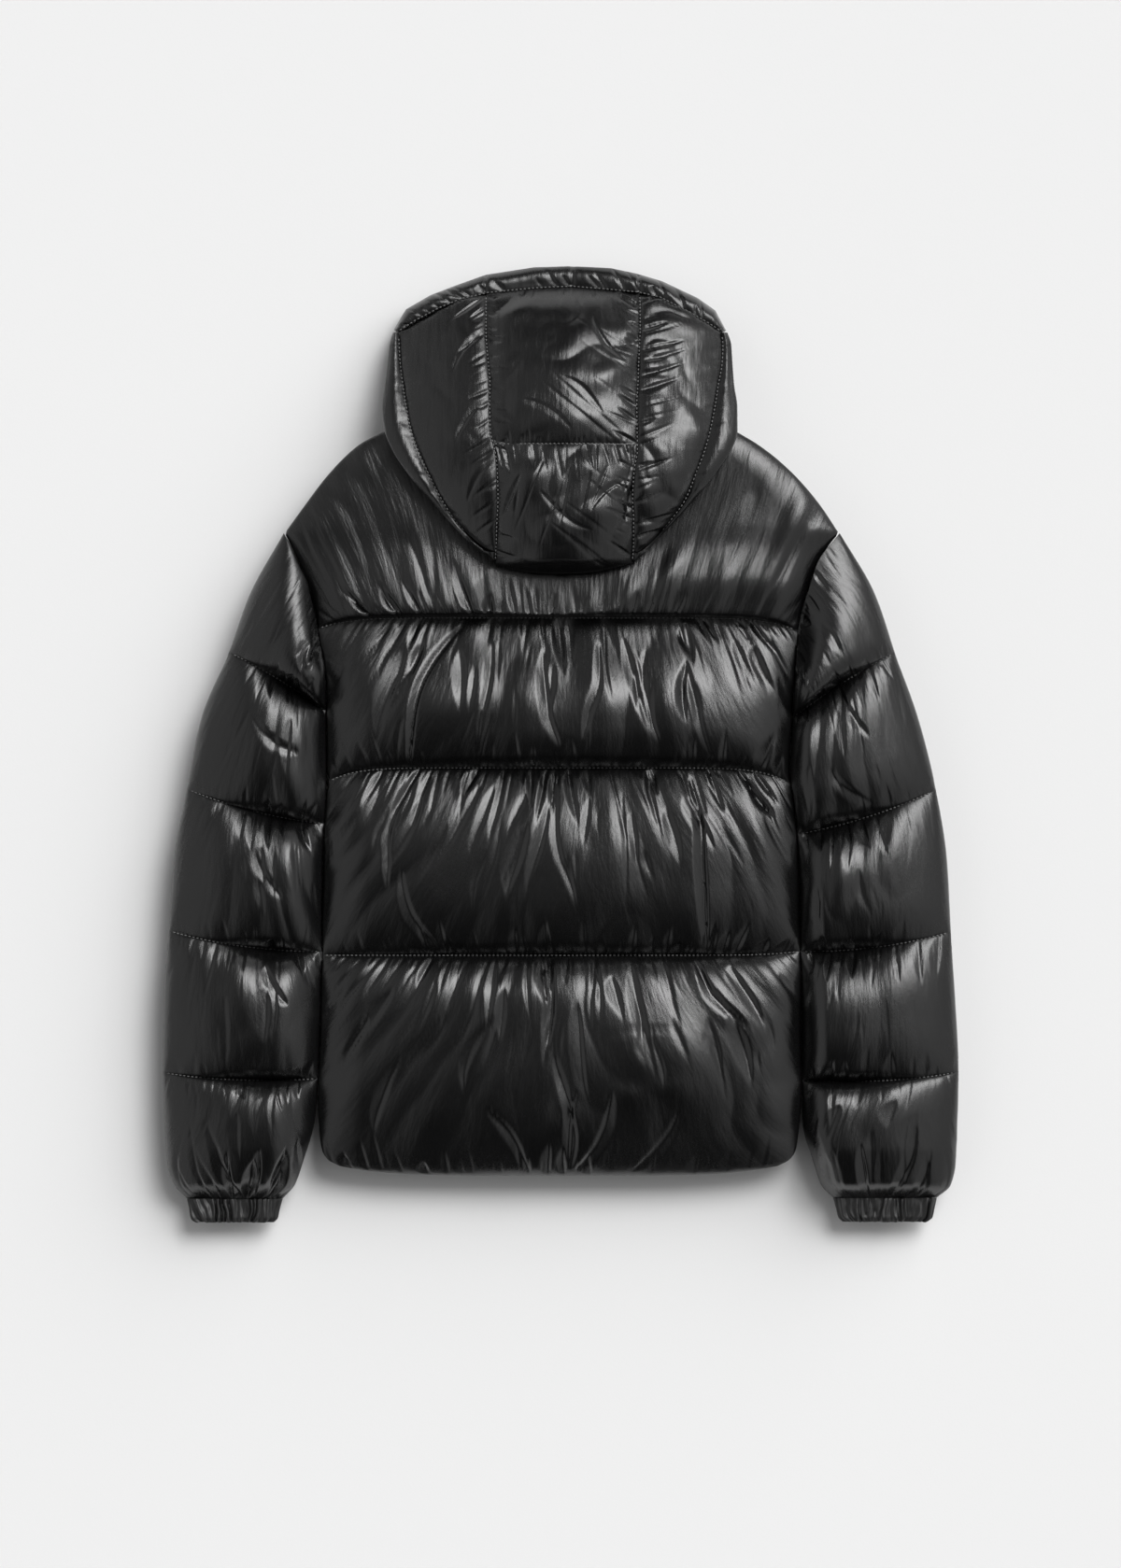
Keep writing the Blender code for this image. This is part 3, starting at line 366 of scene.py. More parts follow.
# ---------------------------------------------------------------- shapes
def column(table, number):
    """One column of a table as an array."""
    return np.array([row[number] for row in table], float)


def unit(t):
    """A value held between 0 and 1."""
    return np.clip(t, 0.0, 1.0)


def folded(u, bend):
    """Where a place on a folded panel lies: whether underneath, and its share of the way to the fold."""
    under = u < bend
    return under, np.where(under, u / bend, (1.0 - u) / (1.0 - bend))


def baffle_at(v, count):
    """The number of the baffle that a place lies in, from 0 to count - 1."""
    return np.clip(np.floor(v), 0, count - 1).astype(int)


def sewn_down(distance, reach):
    """How free the cloth is at a distance from a seam: 1 - exp(-d / reach), 0 on the seam."""
    return 1.0 - np.exp(-distance / reach)


def rounded(distance, reach):
    """A quarter circle's rise, from 0 at an edge to 1 at the reach."""
    near = unit(distance / reach)
    return np.sqrt(1.0 - (1.0 - near) ** 2)


def lens(t, power=2.3, start=0.625):
    """A baffle's height between two seams: (1 - |2t - 1|^power)^start, 0 at both and 1 in the middle."""
    return (1.0 - np.abs(2.0 * t - 1.0) ** power) ** start


def smooth_step(t):
    """An even S from 0 to 1."""
    t = unit(t)
    return t * t * (3.0 - 2.0 * t)


def by_row(table, key, number):
    """A column of a table as a smooth function of its first column.

    A cubic runs between each two rows. Its slope at a row is the harmonic mean of the slopes on
    both sides, or zero where they turn, so that the curve never overshoots a row.
    """
    keys = column(table, 0)
    order = np.argsort(keys)
    keys, values = keys[order], column(table, number)[order]
    steps = np.diff(keys)
    slopes = np.diff(values) / steps
    tangents = np.concatenate([slopes[:1], np.zeros(len(keys) - 2), slopes[-1:]])
    same = slopes[:-1] * slopes[1:] > 0.0
    mean = 2.0 * slopes[:-1] * slopes[1:] / np.where(same, slopes[:-1] + slopes[1:], 1.0)
    tangents[1:-1] = np.where(same, mean, 0.0)
    key = np.clip(key, keys[0], keys[-1])
    k = np.clip(np.searchsorted(keys, key) - 1, 0, len(steps) - 1)
    t = (key - keys[k]) / steps[k]
    rise = values[k + 1] - values[k]
    start, end = steps[k] * tangents[k], steps[k] * tangents[k + 1]
    return values[k] + t * (start + t * (3.0 * rise - 2.0 * start - end + t * (start + end - 2.0 * rise)))


def body_edge(y, side):
    """x of the body's edge: the shoulder down to its point, then the armhole and side seam."""
    above = BODY_OUTLINE[:SHOULDER_ROW + 1]
    below = BODY_OUTLINE[SHOULDER_ROW:]
    number = 1 if side < 0 else 2
    return np.where(y > SHOULDER_Y, by_row(above, y, number), by_row(below, y, number))


# ---------------------------------------------------------------- folds
def relief(x, y, cell_x, cell_y, seed):
    """Soft random relief of about unit height: cubic B-splines over a lattice of random heights."""
    heights = np.random.default_rng(seed).normal(size=(64, 64)) * 2.2
    x, y = np.broadcast_arrays(x / cell_x, y / cell_y)
    ix, iy = np.floor(x).astype(int), np.floor(y).astype(int)

    def weights(t):
        second = (3 * t**3 - 6 * t * t + 4) / 6
        third = (-3 * t**3 + 3 * t * t + 3 * t + 1) / 6
        return (1 - t) ** 3 / 6, second, third, t**3 / 6

    total = 0.0
    for a, wy in enumerate(weights(y - iy)):
        for b, wx in enumerate(weights(x - ix)):
            total = total + wy * wx * heights[(iy + a) % 64, (ix + b) % 64]
    return total


def billow(n, soft=0.12):
    """Round swells with sharp creases between them, where n changes sign: sqrt(n^2 + soft^2) - soft."""
    return np.sqrt(n * n + soft * soft) - soft


def pleats(along, away, spacing, reach, seed, start=0.0, share=0.5):
    """Folds in a row along a seam: each a leaf-shaped facet that tilts down to a sharp crease.

    Fold i lies at (i + 1/2 + 0.48 r) spacing + 0.16 r' d, with its own random r, r', length and start.
    At the place t of its length its half width is w = 2.9 share spacing t^0.6 (1 - t), times a random
    share of 0.2 to 1, and its depth is w (1 - |q|/a w) at q off the crease, with a from 1.1 to 1.7 on
    one side and 0.3 to 0.6 on the other.
    """
    place, long, lean, deep, tilt, late = np.random.default_rng(seed).uniform(-1.0, 1.0, (6, 256))
    cell = np.floor(along / spacing).astype(int)
    total = 0.0
    for step in (-2, -1, 0, 1, 2):
        i = cell + step
        k = i % 256
        off = along - (i + 0.5 + 0.48 * place[k]) * spacing - 0.16 * lean[k] * away
        t = unit((away - start * (0.5 + 0.5 * late[k])) / (reach * np.exp(0.55 * long[k])))
        wide = 2.9 * share * spacing * t**0.6 * (1.0 - t) * (0.6 + 0.4 * deep[k]) + 1e-6
        side = np.where(off < 0.0, 1.4 + 0.3 * tilt[k], 0.45 - 0.15 * tilt[k])
        total = total - wide * np.maximum(1.0 - np.abs(off) / (side * wide), 0.0)
    return total


def crease(x, y, line):
    """One listed long fold: a sharp crease along a bowed line, steep on one side of it and a wide
    gentle facet on the other.

    At the share t along the line and q off it the height is -depth s (1 - |q|/w'), with
    s = sqrt(4t(1 - t)), w' = 2.2 w s where q < 0 and 0.7 w s where q > 0.
    """
    x0, y0, x1, y1, bow, depth, width = line
    dx, dy = x1 - x0, y1 - y0
    span = np.hypot(dx, dy)
    t = ((x - x0) * dx + (y - y0) * dy) / span**2
    inside = unit(t)
    wander = 1.6 * relief(inside * span + x0, y0 + 0.0 * t, 26.0, 34.0, 12)
    q = -((x - x0) * dy - (y - y0) * dx) / span + bow * 4.0 * inside * (1.0 - inside) + wander
    swell = np.sqrt(4.0 * inside * (1.0 - inside)) + 1e-6
    wide = width * swell * np.where(q < 0.0, 2.2, 0.7)
    return -depth * swell * np.maximum(1.0 - np.abs(q) / wide, 0.0) * (np.abs(t - 0.5) < 0.5)


def creases(x, y, table):
    """The sum of a table's folds."""
    total = 0.0 * x
    for line in table:
        total = total + crease(x, y, line)
    return total


def swells(x, y, table):
    """Broad soft bumps: each h exp(-((x - x0)/a)^2 - ((y - y0)/b)^2)."""
    return sum(h * np.exp(-(((x - x0) / a) ** 2) - ((y - y0) / b) ** 2) for x0, y0, a, b, h in table)


def quilted(x, top, foot, number, fan_top, fan_foot, amount):
    """Folds of a quilted baffle, and the thread lines that its weave follows.

    x is the place across from the middle, top and foot the distances from the seams above and below,
    number the baffle's own. Lines fan out from the seams as s = x / (1 + fan d). Long folds cross the
    baffle, middling ones lie between them, and gathers of two sizes start at the stitches.
    """
    far = 1300.0 * number
    bowed = x / (1.0 + fan_top * top) + 4.0 * relief(x + far, top, 60.0, 60.0, 77) + far
    waved = bowed + 1.5 * relief(x, top + far, 22.0, 26.0, 3)
    from_top = x / (1.0 + fan_top * top) + 2.0 * relief(x + far, top, 36.0, 40.0, 78) + far
    from_foot = x / (1.0 + fan_foot * foot) + 2.0 * relief(x + far, foot, 36.0, 40.0, 79) + far
    reach = amount["reach"]
    calm = sewn_down(foot, 14.0)
    bunch = np.clip(0.85 + 0.55 * relief(x + far, 0.0 * x, 34.0, 60.0, 21), 0.15, 1.7)
    still = sewn_down(np.minimum(top, foot), 6.0)
    wide = amount["wide"]
    long = pleats(bowed, top, wide, 1.7 * reach, 5, 60.0, 0.34)
    middling = pleats(waved, top, 0.55 * wide, 1.1 * reach, 6, 90.0, 0.36)
    height = amount["long"] * long * calm
    height = height + amount["middling"] * middling * calm
    height = height + 1.15 * billow(relief(waved, top, 17.0, 52.0, 8)) * still
    gathers = amount["gathers"] * bunch
    coarse = pleats(from_top, top, 15.0, 1.1 * reach, 7, 0.0, 0.45)
    height = height + gathers * (coarse + 0.55 * pleats(from_top, top, 7.0, 0.4 * reach, 17))
    coarse = pleats(from_foot, foot, 14.0, reach * amount["long_below"], 9)
    fine = pleats(from_foot, foot, 6.0, 0.3 * reach, 19)
    return height + gathers * amount["below"] * (coarse + 0.4 * fine), bowed


# ---------------------------------------------------------------- meshes
def outward(points, centre):
    """Unit normals of a grid of points (3, rows, columns), turned away from the centre: the cross
    product of its slopes across and along."""
    n = np.cross(np.gradient(points, axis=2), np.gradient(points, axis=1), axis=0)
    n /= np.sqrt((n * n).sum(0)) + 1e-9
    side = (n * (points - centre[:, None, None])).sum()
    return n if side > 0.0 else -n


def border(rows, columns):
    """Grid places round the border, once: along the first row, up the last column, back and down."""
    i, j = np.arange(columns), np.arange(rows)
    across = np.concatenate([i[:-1], np.full(rows - 1, columns - 1), i[:0:-1], np.zeros(rows - 1, int)])
    down = np.concatenate([np.zeros(columns - 1, int), j[:-1], np.full(columns - 1, rows - 1), j[:0:-1]])
    return down * columns + across


def quads(rows, columns, first):
    """The faces of a grid of vertices that starts at the index first."""
    index = first + np.arange(rows * columns).reshape(rows, columns)
    return np.stack([index[:-1, :-1], index[:-1, 1:], index[1:, 1:], index[1:, :-1]], -1).reshape(-1, 4)


def rim_faces(fine, coarse_rows, coarse_columns, shape, first):
    """Faces between a fine border and a coarse one: each spans one coarse step."""
    rows, columns = shape
    stops = np.concatenate([
        coarse_columns[:-1], columns - 1 + coarse_rows[:-1],
        columns + rows - 2 + (columns - 1 - coarse_columns[::-1])[:-1],
        2 * columns + rows - 3 + (rows - 1 - coarse_rows[::-1])[:-1]])
    inner = first + border(len(coarse_rows), len(coarse_columns))
    faces = []
    for k, start in enumerate(stops):
        stop = stops[k + 1] if k + 1 < len(stops) else len(fine)
        outer = np.concatenate([fine, fine[:1]])[start:stop + 1]
        faces.append([*outer[::-1].tolist(), int(inner[k]), int(inner[(k + 1) % len(inner)])])
    return faces


def finish_mesh(name, points, faces, threads, seam_wear, material):
    """One closed object from points in mm: normals outward, threads as its UV map in metres, and how
    near each point is to a seam as the attribute seam_wear."""
    mesh = bpy.data.meshes.new(name)
    mesh.from_pydata((points * MM).tolist(), [], faces)
    bm = bmesh.new()
    bm.from_mesh(mesh)
    bmesh.ops.recalc_face_normals(bm, faces=bm.faces[:])
    bm.to_mesh(mesh)
    bm.free()
    corners = np.empty(len(mesh.loops), np.int32)
    mesh.loops.foreach_get("vertex_index", corners)
    layer = mesh.uv_layers.new(name="threads")
    layer.data.foreach_set("uv", (threads[corners] * MM).astype(np.float32).ravel())
    wear = mesh.attributes.new("seam_wear", "FLOAT", "POINT")
    wear.data.foreach_set("value", seam_wear.astype(np.float32).ravel())
    mesh.shade_smooth()
    mesh.set_sharp_from_angle(angle=SHARP_ANGLE)
    mesh.materials.append(finish(material))
    item = bpy.data.objects.new(name, mesh)
    bpy.context.scene.collection.objects.link(item)
    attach(item, "root")
    return item


def padded_piece(name, outer, inner, of_piece, grid, inner_grid, folds, coat="shell"):
    """A padded panel: an outer skin on a fine grid, moved out along its normals by its folds, and a
    plain inside on a coarse one, joined round the rim. What is of_piece goes to both surfaces."""
    us, vs = np.asarray(grid[0], float), np.asarray(grid[1], float)
    columns_at, rows_at = [
        np.unique(np.concatenate([[0], np.searchsorted(fine, coarse), [len(fine) - 1]]))
        for fine, coarse in zip((us, vs), inner_grid)]
    u, v = np.meshgrid(us, vs)
    skin = np.stack(outer(u, v, *of_piece))
    inner_u, inner_v = np.meshgrid(us[columns_at], vs[rows_at])
    plain = np.stack(inner(inner_u, inner_v, *of_piece))
    height, along, away, wear = folds(u, v, skin[0], skin[1])
    skin = skin + outward(skin, plain.mean(axis=(1, 2))) * height
    points = np.concatenate([skin.reshape(3, -1).T, plain.reshape(3, -1).T])
    first = skin[0].size
    faces = quads(*u.shape, 0).tolist() + quads(*inner_u.shape, first)[:, ::-1].tolist()
    faces += rim_faces(border(*u.shape), rows_at, columns_at, u.shape, first)
    threads = np.concatenate([np.stack([along, away], -1).reshape(-1, 2), plain[:2].reshape(2, -1).T])
    seam_wear = np.concatenate([(wear + 0.0 * u).ravel(), np.zeros(inner_u.size)])
    item = finish_mesh(name + "_cloth", points, faces, threads, seam_wear, coat + "_nylon")
    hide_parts(name)


def closer(t):
    """Places from 0 to 1 that lie closer to each other at both ends: t - 0.6 sin(2 pi t) / 2 pi."""
    return t - 0.6 * np.sin(2.0 * np.pi * t) / (2.0 * np.pi)


def split(stops, step):
    """Places from the first stop to the last, no further apart than step, with every stop kept."""
    stops = np.asarray(stops, float)
    counts = np.maximum(np.ceil(np.diff(stops) / step), 1.0).astype(int)
    parts = [np.linspace(a, b, count, endpoint=False) for a, b, count in zip(stops[:-1], stops[1:], counts)]
    return np.concatenate(parts + [stops[-1:]])


def baffle_rows(counts):
    """Places down a quilted panel, where each baffle takes 1 and has its own count of rows."""
    rows = [k + closer(np.arange(count) / count) for k, count in enumerate(counts)]
    return np.concatenate(rows + [[len(counts)]])


def hood_rows(stops, step, inner):
    """Places up a hood panel as shares of its height, for its skin and for its inside."""
    low, high = stops[0], stops[-1]
    return (split(stops, step) - low) / (high - low), (np.array(inner) - low) / (high - low) - 1e-9


# ---------------------------------------------------------------- plain forms of the pieces
def seam_height(seam, u):
    """The y of a back seam, whose last stretch bends down towards each side."""
    middle, left_drop, right_drop = seam
    lean = np.where(u < 0.5, left_drop, right_drop)
    return middle - lean * np.abs(2.0 * u - 1.0) ** 9


def body_lines(u):
    """The y of the neck, the three quilting seams and the hem at each u."""
    hem = HEM_Y + HEM_BOW * (1.0 - np.abs(2.0 * u - 1.0) ** 5)
    return [NECK_Y + 0.0 * u] + [seam_height(seam, u) for seam in BACK_SEAMS] + [hem]


def body_plan(u, v):
    """Plan of the back: v counts baffles, from 0 at the neck to 4 at the hem."""
    def y_at(place):
        lines = body_lines(place)
        y = np.zeros(np.broadcast(u, v).shape)
        for k in range(BAFFLES):
            share = unit(v - k)
            part = lines[k] + (lines[k + 1] - lines[k]) * share
            y = np.where((v >= k) & (v <= k + 1), part, y)
        return y

    left = body_edge(y_at(0.0 * u), -1)
    right = body_edge(y_at(0.0 * u + 1.0), 1)
    return left + (right - left) * u, y_at(u), right - left


def beyond_hood(x, y):
    """How far a point lies outside the ring that the hood's edge draws on the yoke."""
    across, down = x, y - NECK_Y
    radius = np.hypot(across, down)
    lean = np.abs(across) / np.maximum(radius, 1.0)
    return radius - (RING + RING_SIDES * lean**18)


def hood_press(x, y):
    """The greatest height of the yoke near the hood that lies on it: PRESS under the hood, curling up by
    PRESS_CURL under its rounded edge, then rising gently, most on its right."""
    beyond = beyond_hood(x, y) + PRESS_INSET
    near = unit(1.0 + beyond / PRESS_REACH)
    slope = 0.12 + 0.10 * smooth_step((x + 20.0) / 120.0)
    height = PRESS + PRESS_CURL * (1.0 - np.sqrt(1.0 - near**2)) + slope * np.maximum(beyond, 0.0)
    return np.where(y > NECK_Y - 1.0, PRESS, height)


def back_outer(u, v):
    """Outer skin of the back: four baffles between seams sewn down to the lining. The yoke's share of
    the full loft is 0.42 + 0.22 v + 0.30 S((v - 0.58) / 0.37), so that it is fullest over its seam."""
    x, y, width = body_plan(u, v)
    number = baffle_at(v, BAFFLES)
    share = v - number
    sag = np.array(BACK_SAGS)[number]
    full = 0.42 + 0.22 * v + 0.30 * smooth_step((v - 0.58) / 0.37)
    yoke = lens(0.5 + 0.5 * unit(v), 95.0, SEAM_START) * full
    baffle = np.where(v < 1.0, yoke, lens(share**sag, 2.8, SEAM_START))
    edge = np.minimum(u, 1.0 - u) * width
    loft = jacket().back_loft / MM - CROWN * (2.0 * u - 1.0) ** 2
    z = MID + GAP + SEAM_WALL + loft * baffle * rounded(edge, SIDE_ROUND) ** 1.3
    return x, y, np.minimum(z, hood_press(x, y))


def back_inner(u, v):
    """The back's plain inside, flat on the fronts."""
    x, y, _ = body_plan(u, v)
    return x, y, 0.0 * x + MID + GAP


def front_plan(u, v, side):
    """Plan of a front: u from the side seam to the zip, v from the hem to the neck."""
    row = BAFFLES * (1.0 - v)
    share = 0.0 * u if side < 0 else 0.0 * u + 1.0
    edge_x, y, _ = body_plan(share, row)
    _, middle_y, _ = body_plan(0.0 * u + 0.5, row)
    return edge_x, y + (middle_y - y) * u


def front_outer(u, v, side):
    """Outer skin of a front: flat where it lies, rounded up to the side, shoulder and hem."""
    edge_x, y = front_plan(u, v, side)
    centre = side * (GAP + 0.0 * u)
    flat = unit(u / 0.9)
    x = edge_x + (side * ZIP_NOTCH - edge_x) * flat
    armhole = (y > ARMHOLE[0]) & (y < ARMHOLE[1])
    reach = np.where(armhole, 2.0, FRONT_ROUND)
    hem = rounded(y - HEM_Y - HEM_BOW * u, FRONT_ROUND)
    depth = MID - SEAM_WALL
    z = depth * (1.0 - rounded(np.abs(x - edge_x), reach) * hem)
    step = unit((u - 0.9) / 0.05)
    tuck = unit((u - 0.95) / 0.05)
    z = np.maximum(z, 0.0) + np.where(z < ZIP_TUCK, ZIP_TUCK * (step + tuck), 0.2 * tuck)
    x = x + (centre - x) * tuck
    return x, y, z


def front_inner(u, v, side):
    """A front's plain inside, just under the back's."""
    edge_x, y = front_plan(u, v, side)
    return edge_x + (side * GAP - edge_x) * u, y, 0.0 * y + MID - GAP


def sleeve_plan(table, side, t, station):
    """Plan of a sleeve: t runs from the body side to the outer fold, station from 0 to 5."""
    inner_x, inner_y, outer_x, outer_y, bow = [by_row(table, station, k) for k in range(1, 6)]
    x = inner_x + (outer_x - inner_x) * t
    y = inner_y + (outer_y - inner_y) * t + bow * 4.0 * t * (1.0 - t)
    first, last = table[0][2], table[0][4]
    arm_y = first + (last - first) * t
    arm_x = body_edge(arm_y, side) + side * SIDE_GAP
    straight = table[0][1] + (table[0][3] - table[0][1]) * t
    fade = unit(1.0 - station)
    x = x + (arm_x - straight) * fade
    body_x = body_edge(np.minimum(y, SHOULDER_Y), side) + side * SIDE_GAP
    return side * np.maximum(side * x, side * body_x), y, np.abs(outer_x - inner_x)


def sleeve_outer(u, v, table, side):
    """Outer skin of a sleeve, round from its underarm seam under, over the fold and back."""
    station = SLEEVE_BAFFLES * v
    under, t = folded(u, SLEEVE_BEND)
    x, y, _ = sleeve_plan(table, side, t, station)
    middle, top, clear = [by_row(SLEEVE_HEIGHTS, station, k) for k in (1, 2, 3)]
    share = station - baffle_at(station, SLEEVE_BAFFLES)
    last = station > 4.0
    sag = np.where((side > 0) & (station < 1.0), 1.9, 1.2)
    baffle = np.where(last, lens(0.5 * unit(share) ** 0.6, 2.8), lens(share**sag, 2.8))
    crest = SLEEVE_CRESTS[side > 0]
    off = np.where(t < crest, (crest - t) / crest, (t - crest) / (1.0 - crest))
    across = np.where(t < crest, (1.0 - off**2.2) ** 0.9, (1.0 - off**2.2) ** 0.6)
    baffle = 1.0 - (1.0 - baffle) * (1.0 - 0.5 * smooth_step((t - 0.3) / 0.5))
    lift = CUFF_HALF * (1.0 - top) * across
    skin = SEAM_WALL * (0.4 + 0.6 * top)
    upper = middle + skin + jacket().sleeve_loft / MM * baffle * across * top + lift
    sole = np.minimum(1.0, 1.04 * (1.0 - np.abs(2.0 * t - 1.0) ** 4.0) ** (1.0 / 2.0))
    lower = middle - skin - (middle - skin - clear) * sole
    return x, y, np.where(under, np.maximum(lower, clear), upper)


def sleeve_inner(u, v, table, side):
    """The sleeve's plain inside: two layers lying on each other, joined near the fold."""
    station = SLEEVE_BAFFLES * v
    _, _, width = sleeve_plan(table, side, 0.0 * u, station)
    fold = SLEEVE_FOLD * (0.4 + 0.6 * by_row(SLEEVE_HEIGHTS, station, 2))
    end = 1.0 - fold / width
    t = end * np.where(u < 0.4, unit(u / 0.36), unit((1.0 - u) / 0.56))
    x, y, _ = sleeve_plan(table, side, t, station)
    middle = by_row(SLEEVE_HEIGHTS, station, 1)
    return x, y, middle + GAP * np.clip((u - 0.4) / 0.04, -1.0, 1.0)


def cuff_plan(table, t, v):
    """Plan of a cuff: v from the sleeve to its open end."""
    y = table[0][0] + (table[-1][0] - table[0][0]) * v
    inner_x = by_row(table, y, 1)
    outer_x = by_row(table, y, 2)
    return inner_x + (outer_x - inner_x) * t, y


def cuff_outer(u, v, table):
    """Outer skin of a cuff, folded round, and a little thinner towards its open end."""
    under, t = folded(u, CUFF_BEND)
    x, y = cuff_plan(table, t, v)
    half = CUFF_EDGE + (CUFF_HALF - CUFF_EDGE) * (1.0 - np.abs(2.0 * t - 1.0) ** 6) ** 0.5
    thick = half * (1.0 - 0.35 * smooth_step((v - 0.8) / 0.2))
    return x, y, CUFF_MID + np.where(under, -thick, thick)


def cuff_inner(u, v, table):
    """The cuff's plain inside: two layers lying on each other."""
    t = 0.95 * np.where(u < 0.5, unit(u / 0.47), unit((1.0 - u) / 0.47))
    x, y = cuff_plan(table, t, v)
    return x, y, CUFF_MID + GAP * np.clip((u - 0.5) / 0.03, -1.0, 1.0)


def hood_line(y, number, side):
    """x of one of the hood's lines at each y, on the left for a side of -1 and on the right for 1."""
    return by_row(HOOD_LINES, y, number if side < 0 else 7 - number)


def fold_height(y):
    """Height of the hood's side fold: high over the yoke, low where it lies on the surface."""
    return HOOD_EDGE + (HOOD_RIM - HOOD_EDGE) * smooth_step((y - NECK_Y + 65.0) / 185.0)


def hood_skin(x, y):
    """Height of the hood over all its seams: a dome that sags over the yoke."""
    ring = np.array([(row[0], 0.5 * (row[6] - row[1])) for row in HOOD_LINES]
                    + [(row[1], abs(row[0])) for row in BRIM_LINES[1:6]] + [(HOOD_FOOT, 58.0)])
    ring = ring[np.argsort(ring[:, 0])]
    half = np.interp(y, ring[:, 0], ring[:, 1])
    middle = by_row(HOOD_MIDDLE, y, 1)
    fold = np.minimum(fold_height(y), middle)
    return fold + (middle - fold) * (1.0 - np.minimum(np.abs(x) / half, 1.0) ** 2.2)


def hood_floor(y):
    """Underside of the hood's upper layer: on the yoke, on the hood's front, on the surface."""
    stops = (NECK_Y - 44.0, NECK_Y + 2.4, NECK_Y + 4.4, COLLAR_TOP - 0.4, COLLAR_TOP + 1.4)
    return np.interp(y, stops, (PRESS + GAP, PRESS + 4.0 * GAP, COLLAR + GAP, COLLAR + GAP, 0.0))


def lower_curl(y, inside):
    """How far the hood's underside curls up to its fold over the yoke."""
    near = unit(1.0 - inside / EDGE_CURL)
    rise = HOOD_EDGE - 2.0 * HOOD_SEAM_DIP - PRESS
    return np.where(y < NECK_Y, rise * (1.0 - np.sqrt(1.0 - near**2)), 0.0)


def brim_seam_y(x):
    """y of the brim's seam at each x."""
    return np.interp(x, column(BRIM_LINES, 2), column(BRIM_LINES, 3))


def hood_foot_y(x):
    """y of the hood's lowest edge at each x."""
    return HOOD_FOOT + 10.0 * (np.abs(x) / 65.0) ** 2.4


def puff_across(u):
    """How a hood panel swells from one long seam to the other."""
    return (1.0 - np.abs(2.0 * u - 1.0) ** 3) ** 0.6


def centre_plan(u, v):
    """Plan of the centre panel, whose ends follow the brim's seam and the hood's lowest edge."""
    row = HOOD_BOTTOM + (HOOD_TOP - HOOD_BOTTOM) * v
    left = hood_line(row, CENTRE_SEAM, -1) + GAP
    right = hood_line(row, CENTRE_SEAM, 1) - GAP
    x = left + (right - left) * u
    top = unit(1.0 - (HOOD_TOP - row) / 24.0)
    foot = unit(1.0 - (row - HOOD_BOTTOM) / 24.0)
    y = row + (brim_seam_y(x) - 2.0 * GAP - HOOD_TOP) * top + (hood_foot_y(x) - HOOD_BOTTOM) * foot
    return x, y, row


def centre_outer(u, v):
    """Outer skin of the centre panel: two puffs with the cross seam between them, rounded at its foot."""
    x, y, row = centre_plan(u, v)
    upper = lens(unit((row - CROSS_SEAM) / (HOOD_TOP - CROSS_SEAM)), LENS_POWER)
    lower = lens(np.clip(1.0 - 0.5 * (CROSS_SEAM - row) / (CROSS_SEAM - HOOD_BOTTOM), 0.5, 1.0), LENS_POWER)
    puff = CENTRE_PUFF * (1.0 - (2.0 * u - 1.0) ** 2) ** 0.8 * np.where(row > CROSS_SEAM, upper, lower)
    z = hood_skin(x, y) - HOOD_SEAM_DIP + puff
    low = rounded(y - hood_foot_y(x) + 0.01, 4.0 + 12.0 * unit(1.0 - (x / 66.0) ** 2))
    return x, y, HOOD_TIP + (z - HOOD_TIP) * low


def centre_inner(u, v):
    """The centre panel's plain inside."""
    x, y, row = centre_plan(u, v)
    return x, y, hood_floor(row) + lower_curl(row, y - hood_foot_y(x))


def side_plan(u, v, side):
    """Plan of a side panel: u from its outer seam to the centre panel's seam."""
    y = SIDE_END + (SIDE_TOP - SIDE_END) * v
    seam = hood_line(y, OUTER_SEAM, side)
    brim = np.array([(row[3], row[2]) for row in BRIM_LINES if row[2] * side > 60.0])
    brim = brim[np.argsort(brim[:, 0])]
    on_brim = np.interp(y, brim[:, 0], brim[:, 1])
    outer = np.where(y > EDGE_TOP + 1.0, on_brim, seam) - side * 1.5 * GAP
    inner = hood_line(y, CENTRE_SEAM, side)
    return outer + (inner - outer) * u, y


def side_outer(u, v, side):
    """Outer skin of a side panel: one soft puff."""
    x, y = side_plan(u, v, side)
    along = rounded(SIDE_TOP - y, 40.0) * rounded(y - SIDE_END + 4.0, 30.0)
    full = 0.6 if side < 0 else 0.7
    return x, y, hood_skin(x, y) - HOOD_SEAM_DIP + full * SIDE_PUFF * puff_across(u) * along


def side_inner(u, v, side):
    """A side panel's plain inside."""
    x, y = side_plan(u, v, side)
    return x, y, hood_floor(y)


def edge_seam(y, side):
    """x of the seam between an edge band and the side panel, then the centre panel."""
    outer = hood_line(y, OUTER_SEAM, side)
    centre = hood_line(y, CENTRE_SEAM, side)
    return np.where(y < SIDE_END - 0.1, centre + side * GAP, outer)


